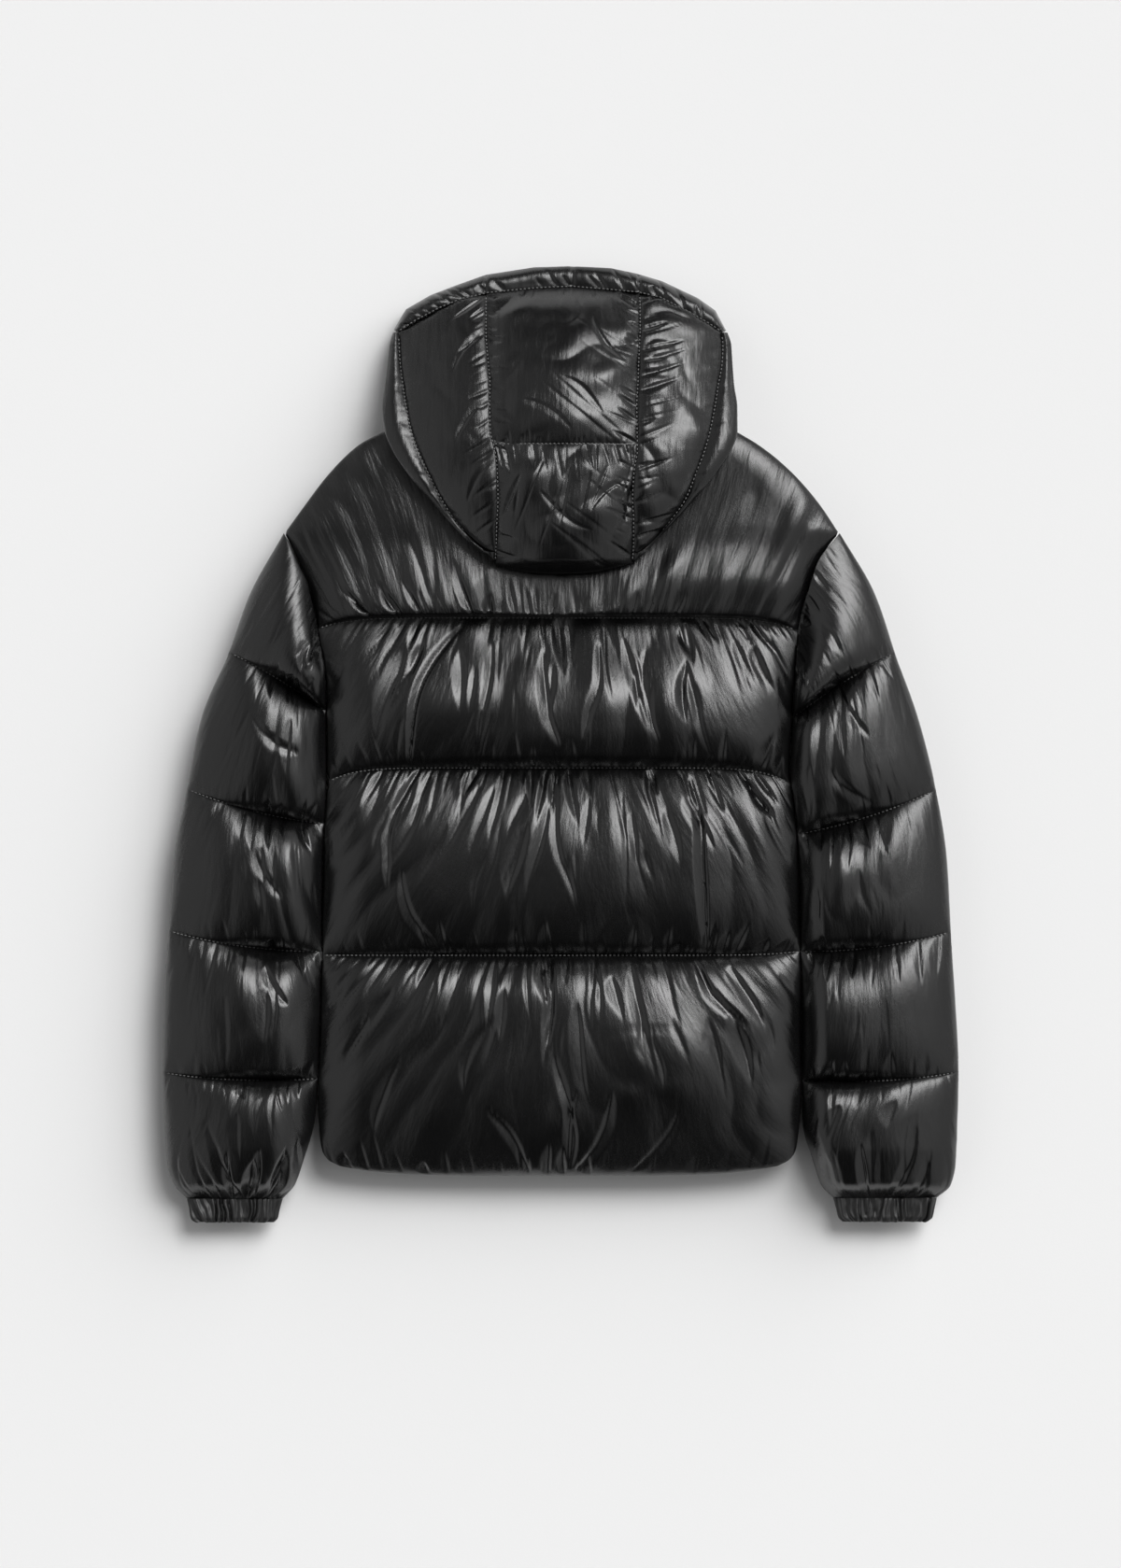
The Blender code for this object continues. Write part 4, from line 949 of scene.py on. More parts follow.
def edge_outer(u, v, side):
    """Outer skin of an edge band: over the hood's fold, then underneath as the hood's front."""
    y = EDGE_START + (EDGE_TOP - EDGE_START) * v
    seam = edge_seam(y, side)
    fold = hood_line(y, EDGE_LINE, side)
    band = np.maximum(np.abs(fold - seam), 1.0)
    on_yoke = y < NECK_Y + 1.0
    wide = ~on_yoke & (y < COLLAR_TOP - 1.0)
    reach = np.where(wide, EDGE_ROUND, np.minimum(EDGE_CURL, 0.8 * band))
    low = np.where(on_yoke, PRESS + GAP, 0.0)
    crown = hood_skin(seam, y) - HOOD_SEAM_DIP
    height = np.minimum(fold_height(y), crown - 2.0)
    over = unit(u / EDGE_BEND)
    under = unit((u - EDGE_BEND) / 0.2)
    flat = unit((u - 0.6) / 0.3)
    notch = unit((u - 0.9) / 0.05)
    tuck = unit((u - 0.95) / 0.05)
    turn = fold - side * reach * under
    centre = np.where(wide, side * ZIP_NOTCH, seam + side * 0.1 * band)
    x = np.where(u <= EDGE_BEND, seam + (fold - seam) * over, turn + (centre - turn) * flat)
    z_over = height + (crown + EDGE_PUFF * np.sin(np.pi * over) - height) * np.sqrt(1.0 - over**2.4)
    z_under = low + (height - low) * (1.0 - rounded(under * reach, reach))
    z = np.where(u <= EDGE_BEND, z_over, z_under)
    end = np.where(wide, side * GAP, seam)
    x = x + (end - x) * np.where(wide, tuck, 0.5 * (notch + tuck))
    z = z + np.where(wide, ZIP_TUCK * (notch + tuck), 0.0)
    return x, y, z


def edge_inner(u, v, side):
    """Plain inside of an edge band, then of the hood's front."""
    y = EDGE_START + (EDGE_TOP - EDGE_START) * v
    seam = edge_seam(y, side)
    on_yoke = y < NECK_Y + 1.0
    crown = hood_skin(seam, y) - HOOD_SEAM_DIP - 0.5 * SEAM_WALL
    base = np.where(on_yoke, PRESS + 2.0 * GAP, np.where(y < COLLAR_TOP - 1.0, COLLAR, 2.0))
    slab = ~on_yoke & (y < COLLAR_TOP - 1.0)
    down = np.where(slab, unit(u / 0.45), u)
    along = unit((u - 0.45) / 0.55)
    x = seam + np.where(slab, (side * GAP - seam) * along, 0.0)
    z = crown + (base - crown) * down
    return x, y, z


def brim_outer(u, v):
    """Outer skin of the brim, round from its seam over the edge and flat underneath."""
    places = np.linspace(0.0, 1.0, len(BRIM_LINES))
    outer_x, outer_y, seam_x, seam_y = [np.interp(v, places, column(BRIM_LINES, k)) for k in range(4)]
    over = unit(u / BRIM_BEND)
    under = unit((u - BRIM_BEND) / 0.4)
    out = np.where(u <= BRIM_BEND, np.sin(0.5 * np.pi * over), 1.0 - under)
    crown = hood_skin(seam_x, seam_y) - HOOD_SEAM_DIP
    swell = EDGE_PUFF * np.sin(np.pi * over)
    z_over = BRIM_FOLD + (crown - BRIM_FOLD + swell) * np.cos(0.5 * np.pi * over)
    z_under = BRIM_FOLD * (1.0 - rounded(under * EDGE_ROUND, BRIM_ROUND))
    z = np.where(u <= BRIM_BEND, z_over, z_under)
    return seam_x + (outer_x - seam_x) * out, seam_y + (outer_y - seam_y) * out, z


def brim_inner(u, v):
    """The brim's plain inside: its sewn face against the panels."""
    x, y, crown = brim_outer(0.0 * u, v)
    return x, y, crown - 1.0 - (crown - 2.0) * u


# ---------------------------------------------------------------- the pieces' own folds
# Each gives, for the places u and v of a piece and its points in mm, the height of its folds over
# them, the thread line (along, away) that each point lies on, and how close it is to a seam.

def near_seam(distance):
    """1 on a seam, fading to 0 as exp(-d/5)."""
    return np.exp(-np.maximum(distance, 0.0) / 5.0)


def back_folds(u, v, x, y):
    """Quilted folds on four baffles, with the listed creases, flat where the hood lies."""
    sizes = jacket()
    number = baffle_at(v, BAFFLES)
    span = np.array(BACK_SPANS)[number]
    foot = (1.0 - (v - number)) * span
    top = np.where(number == 0, 2.0 * span - foot, (v - number) * span)
    fan = np.array(BACK_FANS)
    amount = {
        "wide": 26.0, "long": sizes.long_folds, "middling": sizes.middling_folds, "gathers": sizes.gathers,
        "reach": sizes.gather_reach / MM, "below": np.where(number == 0, 1.1, 0.5),
        "long_below": np.where(number == 0, 0.95, 0.6)}
    height, along = quilted(x, top, foot, number, fan[number, 0], fan[number, 1], amount)
    near = np.minimum(top, foot)
    height = height + creases(x, y, BACK_CREASES) * sewn_down(near, 6.0)
    height = height + swells(x, y, BACK_SWELLS) * smooth_step(near / 40.0)
    edge = np.minimum(u, 1.0 - u) * BODY_WIDTH
    open_yoke = smooth_step((beyond_hood(x, y) - 2.0) / 30.0) * (y < NECK_Y - 1.0)
    distance = np.minimum(np.minimum(foot, top), edge)
    return height * rounded(edge, 30.0) * open_yoke, along, y, near_seam(distance)


def front_folds(u, v, x, y):
    """The fronts lie flat underneath: only the weave's own line."""
    return 0.0 * x, x, y, near_seam(np.abs(x) - ZIP_NOTCH)


def sleeve_folds(u, v, x, y):
    """Quilted folds round a sleeve's upper side, dying out over its outer fold."""
    sizes = jacket()
    station = SLEEVE_BAFFLES * v
    number = baffle_at(station, SLEEVE_BAFFLES)
    share = station - number
    under, t = folded(u, SLEEVE_BEND)
    width = 148.0 - 52.0 * smooth_step((station - 4.2) / 0.8)
    top, foot = share * SLEEVE_SPAN, (1.0 - share) * SLEEVE_SPAN
    side = np.sign(x.mean())
    across = side * (t - 0.5) * width
    fan = np.array(SLEEVE_FANS)
    last = number == SLEEVE_BAFFLES - 1
    amount = {
        "wide": 26.0, "long": 0.5 * sizes.long_folds, "middling": 0.5 * sizes.middling_folds,
        "gathers": sizes.gathers, "reach": 0.7 * sizes.gather_reach / MM, "below": np.where(last, 1.5, 0.5),
        "long_below": np.where(last, 2.2, 0.6)}
    own = number + (12 if side > 0 else 6)
    height, along = quilted(across, top, foot, own, fan[number, 0], fan[number, 1], amount)
    near = np.minimum(top, foot)
    height = height + creases(x, y, SLEEVE_CREASES) * sewn_down(near, 6.0)
    below, above = 0.35 * smooth_step((t - 0.8) / 0.2), 0.35 + 0.65 * rounded((1.0 - t) * width, 30.0)
    fold = np.where(under, below, above)
    inner_half = 0.3 + 0.85 * smooth_step((0.8 - t) / 0.5)
    height = height * fold * inner_half * np.where(under, 1.0, rounded(t * width, 22.0))
    return height, along, y, near_seam(np.minimum(near, t * width + 400.0 * under))


def cuff_folds(u, v, x, y):
    """Uneven gathers that the elastic draws up, running the length of the cuff."""
    _, t = folded(u, CUFF_BEND)
    around = (u - 0.5) * 2.0 * CUFF_WIDTH + 900.0 * (x.mean() > 0.0)
    lines = billow(relief(around + 1.2 * relief(x, y, 9.0, 9.0, 31), y, 2.7, 26.0, 30), 0.1)
    fine = billow(relief(around, y, 1.7, 9.0, 32), 0.1)
    height = jacket().cuff_gathers / MM * (lines - 0.7) + 0.2 * fine
    end = np.minimum(v, 1.0 - v) * CUFF_LENGTH
    fade = rounded(np.minimum(t, 1.0 - t) * CUFF_WIDTH, 9.0) * rounded(end + 1.0, 3.0)
    return height * fade, around, y, near_seam(end)


def centre_folds(u, v, x, y):
    """Puckers from both long seams, the cross seam and the brim, over soft crinkles."""
    row = HOOD_BOTTOM + (HOOD_TOP - HOOD_BOTTOM) * v
    left, right = x - hood_line(row, CENTRE_SEAM, -1), hood_line(row, CENTRE_SEAM, 1) - x
    cross, brim = row - CROSS_SEAM, HOOD_TOP - row
    amount = jacket().hood_puckers
    from_left = pleats(y + 0.3 * left, left, 8.0, 14.0, 41)
    from_right = pleats(y - 0.5 * right, right, 11.0, 22.0, 43)
    long_right = pleats(y - 0.7 * right, right, 25.0, 60.0, 44, 20.0, 0.3)
    below = pleats(x + 0.15 * cross, -cross, 9.0, 26.0, 45)
    long_below = pleats(x - 0.3 * cross, -cross, 15.0, 46.0, 46, 40.0, 0.3)
    above = pleats(x, cross, 7.0, 9.0, 47)
    from_brim = pleats(x + 0.2 * brim, brim, 9.0, 12.0, 49)
    height = amount * (
        0.7 * from_left + 0.8 * from_right + 0.2 * long_right + (below + 0.7 * long_below) * (cross < 0.0)
        + 0.5 * above * (cross > 0.0) + 0.4 * from_brim)
    seams = [left, right, np.abs(cross), brim]
    start = 1.0
    for distance in seams:
        start = start * sewn_down(np.maximum(distance, 0.0), 4.0)
    crinkle = billow(relief(x + 0.5 * y, y - 0.5 * x, 24.0, 15.0, 51))
    height = height + 1.3 * (crinkle - 0.5) * start + creases(x, y, HOOD_CREASES) * start
    return height * smooth_step((y - HOOD_FOOT - 2.0) / 10.0), x, y, near_seam(np.minimum.reduce(seams))


def side_folds(u, v, x, y):
    """Slanted puckers from the centre seam, on an otherwise smooth panel."""
    left_one = x.mean() < 0.0
    side = -1 if left_one else 1
    inner = np.abs(hood_line(y, CENTRE_SEAM, side) - x)
    outer = np.abs(hood_line(y, OUTER_SEAM, side) - x)
    lean, strength, reach = (0.6, 0.6, 22.0) if left_one else (-0.3, 0.8, 30.0)
    amount = jacket().hood_puckers
    height = amount * (strength * pleats(y + lean * inner, inner, 11.0, reach, 61 + left_one, 0.0, 0.42)
                       + 0.25 * pleats(y, outer, 8.0, 9.0, 65 + left_one)
                       + 0.3 * pleats(x, SIDE_TOP - y, 9.0, 12.0, 69 + left_one))
    start = sewn_down(inner, 4.0) * sewn_down(outer, 4.0) * smooth_step((SIDE_TOP - y) / 6.0)
    soft = relief(x + 0.6 * y, y - 0.6 * x, 46.0, 26.0, 71 + left_one)
    crinkle = billow(relief(x - 0.4 * y, y + 0.4 * x, 16.0, 11.0, 73))
    crinkled = 0.3 if left_one else 1.0
    height = height + (0.9 * soft + crinkled * crinkle + creases(x, y, HOOD_CREASES)) * start
    return height * smooth_step((y - SIDE_END) / 8.0), x, y, near_seam(np.minimum(inner, outer))


def edge_folds(u, v, x, y):
    """Short puckers from the curved seam, dying out before the fold."""
    side = np.sign(x.mean())
    seam = np.abs(edge_seam(y, side) - x)
    over = unit(1.0 - u / EDGE_BEND)
    height = 0.2 * jacket().hood_puckers * pleats(y, seam, 11.0, 9.0, 75) * (u < EDGE_BEND)
    height = height + 0.5 * relief(x, y, 18.0, 40.0, 77) * smooth_step(over / 0.3) * smooth_step(u / 0.1)
    ends = smooth_step((y - EDGE_START) / 8.0) * smooth_step((EDGE_TOP - y) / 8.0)
    return height * ends, x, y, np.where(u < EDGE_BEND, near_seam(seam), 0.0)


def brim_folds(u, v, x, y):
    """Short slanted puckers from the brim's seam, and its three joins."""
    along = BRIM_RUN * v
    away = BRIM_WIDTH * unit(u / BRIM_BEND)
    height = 0.5 * jacket().hood_puckers * pleats(along + 0.7 * away, away, 16.0, 16.0, 81) * (u < BRIM_BEND)
    soft = 0.3 * relief(along, away, 22.0, 12.0, 83)
    height = height + soft * smooth_step(u / 0.1) * smooth_step((BRIM_BEND - u) / 0.1)
    joins = 0.0
    for place in BRIM_JOINS:
        joins = joins + np.exp(-(((x - place) / 1.6) ** 2)) * smooth_step((0.62 - u) / 0.1) * (u > 0.0)
    ends = smooth_step(along / 8.0) * smooth_step((BRIM_RUN - along) / 8.0)
    return (height - 1.6 * joins) * ends, along, away, np.where(u < BRIM_BEND, near_seam(away), 0.0)


# ---------------------------------------------------------------- pieces
def make_back():
    """One panel from the neck to the hem."""
    grid = np.linspace(0.0, 1.0, 355), baffle_rows(BACK_ROWS)
    inner_grid = np.linspace(0.0, 1.0, 21), np.linspace(0.0, BAFFLES, 33)
    padded_piece("back", back_outer, back_inner, (), grid, inner_grid, back_folds)


def make_front(name, side):
    """One front, under the back, from the side seam to the zip and from the hem to the neck."""
    vs = np.linspace(0.0, 1.0, 97)
    grid = split((0.0, 0.2, 0.9, 0.95, 1.0), 0.022), vs
    inner_grid = (0.0, 0.25, 0.5, 0.75, 1.0), vs[::4]
    padded_piece(name, front_outer, front_inner, (side,), grid, inner_grid, front_folds)


def make_sleeve(name, table, side):
    """One panel folded round, from the armhole to the cuff."""
    us = np.concatenate([np.linspace(0.0, SLEEVE_BEND, 29)[:-1], np.linspace(SLEEVE_BEND, 1.0, 141)])
    vs = baffle_rows((76,) * SLEEVE_BAFFLES) / SLEEVE_BAFFLES
    inner_grid = (0.0, 0.1, 0.2, 0.3, 0.36, 0.4, 0.44, 0.6, 0.8, 1.0), vs[::10]
    padded_piece(name, sleeve_outer, sleeve_inner, (table, side), (us, vs), inner_grid, sleeve_folds)


def make_cuff(name, table):
    """A gathered elastic band, folded round, with its seam at the body side."""
    grid = np.linspace(0.0, 1.0, 301), np.linspace(0.0, 1.0, 25)
    inner_grid = (0.0, 0.25, 0.47, 0.5, 0.53, 0.75, 1.0), (0.0, 0.5, 1.0)
    padded_piece(name, cuff_outer, cuff_inner, (table,), grid, inner_grid, cuff_folds, "cuff")


def make_hood_centre():
    """The centre panel of the hood, from the brim to the fold over the yoke."""
    vs, inner_vs = hood_rows(
        (HOOD_BOTTOM, 176.0, 300.4, 302.4, 304.4, 383.0, 384.6, 386.4, HOOD_TOP), 1.1,
        (164.0, 176.0, 200.0, 230.0, 256.0, 286.0, 302.4, 304.4, 345.0, 384.6, 386.4, 437.0))
    grid, inner_grid = (np.linspace(0.0, 1.0, 129), vs), (np.linspace(0.0, 1.0, 9), inner_vs)
    padded_piece("hood_centre", centre_outer, centre_inner, (), grid, inner_grid, centre_folds)


def make_hood_side(name, side):
    """A side panel of the hood, between its two curved seams."""
    vs, inner_vs = hood_rows(
        (SIDE_END, 300.4, 302.4, 304.4, 384.6, 386.4, SIDE_TOP), 1.3,
        (184.0, 210.0, 240.0, 270.0, 302.4, 304.4, 345.0, 384.6, 386.4, 432.0))
    grid, inner_grid = (np.linspace(0.0, 1.0, 65), vs), (np.linspace(0.0, 1.0, 5), inner_vs)
    padded_piece(name, side_outer, side_inner, (side,), grid, inner_grid, side_folds)


def make_hood_edge(name, side):
    """A hood edge band with the hood's front and collar, down to the neck."""
    over, round_fold = np.linspace(0.0, EDGE_BEND, 41)[:-1], np.linspace(EDGE_BEND, 0.6, 15)[:-1]
    us = np.concatenate([over, round_fold, split((0.6, 0.9, 0.95, 1.0), 0.025)])
    vs, inner_vs = hood_rows(
        (EDGE_START, 300.4, 302.4, 383.0, 384.6, EDGE_TOP), 1.5,
        (176.0, 200.0, 230.0, 260.0, 300.4, 302.4, 340.0, 383.0, 384.6, 396.0))
    inner_grid = (0.0, 0.2, 0.4, 0.45, 0.6, 0.8, 1.0), inner_vs
    padded_piece(name, edge_outer, edge_inner, (side,), (us, vs), inner_grid, edge_folds)


def make_hood_brim():
    """The padded band over the hood's top edge."""
    us = np.concatenate([np.linspace(0.0, BRIM_BEND, 37)[:-1], np.linspace(BRIM_BEND, 1.0, 13)])
    vs = np.linspace(0.0, 1.0, 289)
    inner_grid = (0.0, 0.5, 1.0), vs[::12]
    padded_piece("hood_brim", brim_outer, brim_inner, (), (us, vs), inner_grid, brim_folds)


# ---------------------------------------------------------------- stitching and zip
def seam_paths():
    """The lines of stitches that show, each an array of points in mm."""
    t = np.linspace(0.0, 1.0, 400)
    paths = []
    for k in (1.0, 2.0, 3.0):
        x, y, _ = body_plan(0.004 + 0.992 * t, k + 0.0 * t)
        paths.append(np.stack([x, y, MID + GAP + SEAM_WALL + 1.5 * THREAD_RISE + 0.0 * t]))
    for table, side in ((SLEEVE_LEFT, -1), (SLEEVE_RIGHT, 1)):
        for k in (1, 2, 3, 4):
            x, y, z = sleeve_outer(0.985 - 0.57 * t, k / SLEEVE_BAFFLES + 0.0 * t, table, side)
            paths.append(np.stack([x, y, z + 0.5 * THREAD_RISE]))
    for number, low, high in ((CENTRE_SEAM, 176.0, 431.0), (OUTER_SEAM, 204.0, 394.0)):
        for side in (-1, 1):
            y = low + (high - low) * t
            x = hood_line(y, number, side)
            paths.append(np.stack([x, y, hood_skin(x, y) - HOOD_SEAM_DIP + THREAD_RISE]))
    x = -64.0 + 134.5 * t
    y = CROSS_SEAM + 0.0 * t
    paths.append(np.stack([x, y, hood_skin(x, y) - HOOD_SEAM_DIP + 0.1 * THREAD_RISE]))
    places = np.linspace(0.0, 1.0, len(BRIM_LINES))
    x, y = np.interp(t, places, column(BRIM_LINES, 2)), np.interp(t, places, column(BRIM_LINES, 3))
    paths.append(np.stack([x, y, hood_skin(x, y) - HOOD_SEAM_DIP + THREAD_RISE]))
    return paths


def bar_faces(count, rings, sides):
    """The faces of closed bars, each of some rings of vertices with as many sides: sides, then ends."""
    index = np.arange(count * rings * sides).reshape(count, rings, sides)
    follow = np.roll(index, -1, axis=2)
    walls = np.stack([index[:, :-1], follow[:, :-1], follow[:, 1:], index[:, 1:]], -1).reshape(-1, 4)
    return walls.tolist() + np.concatenate([index[:, 0, ::-1], index[:, -1]]).tolist()


def stitch_mesh(paths, pitch, length, width):
    """Stitches along the paths: each a closed five-sided bar of four rings, whose radius is
    w/2 sqrt(1 - (0.9 l)^2) at the place l from -1 to 1 and which dips at both ends by 0.5 w l^2."""
    centres, ways = [], []
    for path in paths:
        steps = np.sqrt((np.diff(path, axis=1) ** 2).sum(0))
        run = np.concatenate([[0.0], np.cumsum(steps)])
        stops = np.arange(0.5 * pitch, run[-1] - 0.4 * pitch, pitch)
        centres.append(np.stack([np.interp(stops, run, axis) for axis in path], -1))
        centres[-1][:, 2] += 1.0 * relief(stops + 500.0 * len(centres), 0.0 * stops, 11.0, 11.0, 91)
        ahead = np.stack([np.interp(stops + 0.5, run, axis) for axis in path], -1)
        behind = np.stack([np.interp(stops - 0.5, run, axis) for axis in path], -1)
        ways.append((ahead - behind) / np.linalg.norm(ahead - behind, axis=1, keepdims=True))
    centre, way = np.concatenate(centres), np.concatenate(ways)
    side = np.cross(way, (0.0, 0.0, 1.0))
    side /= np.linalg.norm(side, axis=1, keepdims=True)
    up = np.cross(side, way)
    place = np.array((-1.0, -0.45, 0.45, 1.0))
    radius = 0.5 * width * np.sqrt(1.0 - (0.9 * place) ** 2)
    turn = 2.0 * np.pi * np.arange(5) / 5.0
    ring = np.stack([np.cos(turn), np.sin(turn)])
    dip = (0.5 * width * place**2)[:, None]
    points = (centre[:, None, None] + way[:, None, None] * (0.5 * length * place)[None, :, None, None]
              + side[:, None, None] * (radius[:, None] * ring[0])[None, :, :, None]
              + up[:, None, None] * (radius[:, None] * ring[1] - dip)[None, :, :, None])
    count = len(centre)
    along = np.tile(np.repeat(place * 0.5 * length, 5), count)
    threads = np.stack([along, np.tile(np.tile(turn, 4), count)], -1)
    return points.reshape(-1, 3), bar_faces(count, 4, 5), threads


def make_stitches():
    """All the stitching that shows, as one piece."""
    sizes = jacket()
    pitch, length, width = sizes.stitch_pitch / MM, sizes.stitch_length / MM, sizes.thread_width / MM
    points, faces, threads = stitch_mesh(seam_paths(), pitch, length, width)
    finish_mesh("stitching", points, faces, threads, np.zeros(len(points)), "thread_and_painted_glint")


def zip_teeth():
    """Moulded teeth in two rows that lock: each a block whose head is rounded and pinched, on the
    tape's bead. A tooth's outline at the place a round it is a superellipse |x|^4 + |y|^4 = 1."""
    low, high = TOOTH_ENDS
    rows = np.arange(HEM_Y + 8.0, ZIP_TOP, TOOTH_PITCH)
    turn = 2.0 * np.pi * (np.arange(12) + 0.5) / 12.0
    shape_x, shape_y = [np.sign(way(turn)) * np.abs(way(turn)) ** 0.5 for way in (np.cos, np.sin)]
    heights = np.array((low, low + 0.5, high - 0.5, high))
    scale = np.array((0.8, 1.0, 1.0, 0.8))[None, :, None]
    teeth = []
    for side in (-1.0, 1.0):
        y = rows + (0.5 * TOOTH_PITCH if side > 0 else 0.0)
        centre = np.stack([0.0 * y + side * TOOTH_OFF, y], -1)
        x = centre[:, 0, None, None] + TOOTH_HALF[0] * scale * shape_x[None, None, :]
        y = centre[:, 1, None, None] + TOOTH_HALF[1] * scale * shape_y[None, None, :]
        teeth.append(np.stack([x, y, heights[None, :, None] + 0.0 * x], -1))
    teeth = np.concatenate(teeth)
    return teeth.reshape(-1, 3), bar_faces(len(teeth), 4, 12)


def make_zip():
    """The closed chain between the two fronts, tooth by tooth."""
    points, faces = zip_teeth()
    unworn = np.zeros(len(points))
    item = finish_mesh("zip_teeth", points, faces, points[:, :2], unworn, "zip_plastic")
    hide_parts("zip")


# ---------------------------------------------------------------- finishes
def put(tree, kind, links=(), **settings):
    """Adds a node, sets its options and socket values, and links sockets into it."""
    node = tree.nodes.new(kind)
    for key, value in settings.items():
        if hasattr(node, key):
            setattr(node, key, value)
        else:
            node.inputs[key].default_value = value
    for socket, source in links:
        tree.links.new(source, node.inputs[socket])
    return node


def feed(tree, node, pairs):
    """Gives sockets of a node their values, or links the sources that stand in their place."""
    for socket, value in pairs:
        if isinstance(value, bpy.types.NodeSocket):
            tree.links.new(value, node.inputs[socket])
        else:
            node.inputs[socket].default_value = value


def mixed(tree, share, first, second):
    """A colour mix of two values or sources by a share."""
    node = put(tree, "ShaderNodeMix", data_type="RGBA")
    feed(tree, node, ((0, share), (6, first), (7, second)))
    return node.outputs[2]


def ranged(tree, source, low, high, to_low, to_high):
    """A value carried from one range to another."""
    node = put(tree, "ShaderNodeMapRange")
    feed(tree, node, enumerate((source, low, high, to_low, to_high)))
    return node.outputs[0]


def added(tree, operation, *values):
    """A sum, product or other step of arithmetic on values or sources."""
    node = put(tree, "ShaderNodeMath", operation=operation)
    feed(tree, node, enumerate(values))
    return node.outputs[0]


def woven(tree, pitch):
    """Height of a plain weave on the piece's thread map: warp over weft in turn,
    sin(2 pi x / pitch) sin(2 pi y / pitch)."""
    threads = put(tree, "ShaderNodeUVMap", uv_map="threads")
    parts = put(tree, "ShaderNodeSeparateXYZ", links=((0, threads.outputs[0]),))
    turns = [added(tree, "MULTIPLY", parts.outputs[k], 2.0 * np.pi / pitch) for k in (0, 1)]
    waves = [added(tree, "SINE", turn) for turn in turns]
    return threads.outputs[0], added(tree, "MULTIPLY", *waves)


def stretched_noise(tree, source, scale, detail=2.0):
    """Noise on a source scaled unevenly."""
    place = put(tree, "ShaderNodeMapping", links=((0, source),))
    place.inputs["Scale"].default_value = scale
    noise = put(tree, "ShaderNodeTexNoise", links=((0, place.outputs[0]),), Scale=1.0, Detail=detail)
    return noise.outputs[0]


def bumped(tree, height, distance, below=None):
    """A bump of so many metres, over another one where there is one below it."""
    links = (("Height", height),) if below is None else (("Height", height), ("Normal", below))
    return put(tree, "ShaderNodeBump", links=links, Distance=distance).outputs[0]


def shaded(colour, share):
    """A colour made darker or paler by a share."""
    return tuple(min(1.0, share * c) for c in colour[:3]) + (1.0,)


def new_finish(name):
    """A new material with its node tree, its shader and the place on the object as a source."""
    material = bpy.data.materials.new(name)
    material.use_nodes = True
    tree = material.node_tree
    here = put(tree, "ShaderNodeTexCoord").outputs["Object"]
    return material, tree, tree.nodes["Principled BSDF"], here


def cloth_finish(name, colour, roughness, pitch, crinkle):
    """Woven cloth: a weave and small creases along the threads as bump, cloudy colour and gloss, and
    a paler, duller line of wear along the seams."""
    material, tree, shader, here = new_finish(name)
    threads, weave = woven(tree, pitch)
    cloud = stretched_noise(tree, here, (14.0, 14.0, 14.0), 3.0)
    creases_along = stretched_noise(tree, threads, (150.0, 28.0, 1.0), 3.0)
    fine = stretched_noise(tree, threads, (700.0, 260.0, 1.0))
    wear = put(tree, "ShaderNodeAttribute", attribute_name="seam_wear").outputs["Fac"]
    base = mixed(tree, ranged(tree, cloud, 0.35, 0.65, 0.0, 1.0), shaded(colour, 0.78), shaded(colour, 1.25))
    grain = added(tree, "MULTIPLY", wear, ranged(tree, fine, 0.35, 0.65, 0.0, 0.8))
    tree.links.new(mixed(tree, grain, base, shaded(colour, 2.2)), shader.inputs["Base Color"])
    gloss = ranged(tree, cloud, 0.3, 0.7, roughness - 0.03, roughness + 0.03)
    gloss = added(tree, "ADD", gloss, added(tree, "MULTIPLY", wear, 0.10))
    gloss = added(tree, "ADD", gloss, ranged(tree, fine, 0.3, 0.7, -0.02, 0.02))
    tree.links.new(gloss, shader.inputs["Roughness"])
    crinkled = bumped(tree, creases_along, crinkle)
    crinkled = bumped(tree, weave, 0.00001, bumped(tree, fine, 0.00006, crinkled))
    tree.links.new(crinkled, shader.inputs["Normal"])
    shader.inputs["IOR"].default_value = 1.68
    return material


def thread_finish(name, colour):
    """Twisted thread: a slanted twist as bump over soft, slightly hairy colour, whose grey is partly the
    thread's own dark colour and partly a painted glint.
    """
    material, tree, shader, here = new_finish(name)
    cloud = stretched_noise(tree, here, (900.0, 900.0, 900.0))
    tree.links.new(mixed(tree, cloud, shaded(colour, 0.6), tuple(colour)), shader.inputs["Base Color"])
    shader.inputs["Roughness"].default_value = 0.45
    twist = put(tree, "ShaderNodeTexWave", links=((0, here),), Scale=600.0, Distortion=1.0)
    tree.links.new(bumped(tree, twist.outputs[0], 0.00005), shader.inputs["Normal"])
    return material


def hard_finish(name, colour, roughness, metallic):
    """Moulded or cast and tumbled: a fine pebble as bump, cloudy gloss and paler worn spots."""
    material, tree, shader, here = new_finish(name)
    cloud = stretched_noise(tree, here, (400.0, 400.0, 400.0), 4.0)
    spots = ranged(tree, cloud, 0.55, 0.75, 0.0, 0.6)
    gloss = ranged(tree, cloud, 0.3, 0.7, roughness - 0.06, roughness + 0.08)
    tree.links.new(mixed(tree, spots, tuple(colour), shaded(colour, 1.8)), shader.inputs["Base Color"])
    tree.links.new(gloss, shader.inputs["Roughness"])
    tree.links.new(bumped(tree, cloud, 0.00004), shader.inputs["Normal"])
    shader.inputs["Metallic"].default_value = metallic
    return material


def floor_finish(name, colour):
    """Matt painted board: a faint roller texture and hardly any gloss."""
    material, tree, shader, here = new_finish(name)
    grain = stretched_noise(tree, here, (500.0, 500.0, 500.0), 3.0)
    tree.links.new(mixed(tree, grain, shaded(colour, 0.985), tuple(colour)), shader.inputs["Base Color"])
    shader.inputs["Roughness"].default_value = 0.95
    shader.inputs["Specular IOR Level"].default_value = 0.1
    tree.links.new(bumped(tree, grain, 0.00005), shader.inputs["Normal"])
    return material


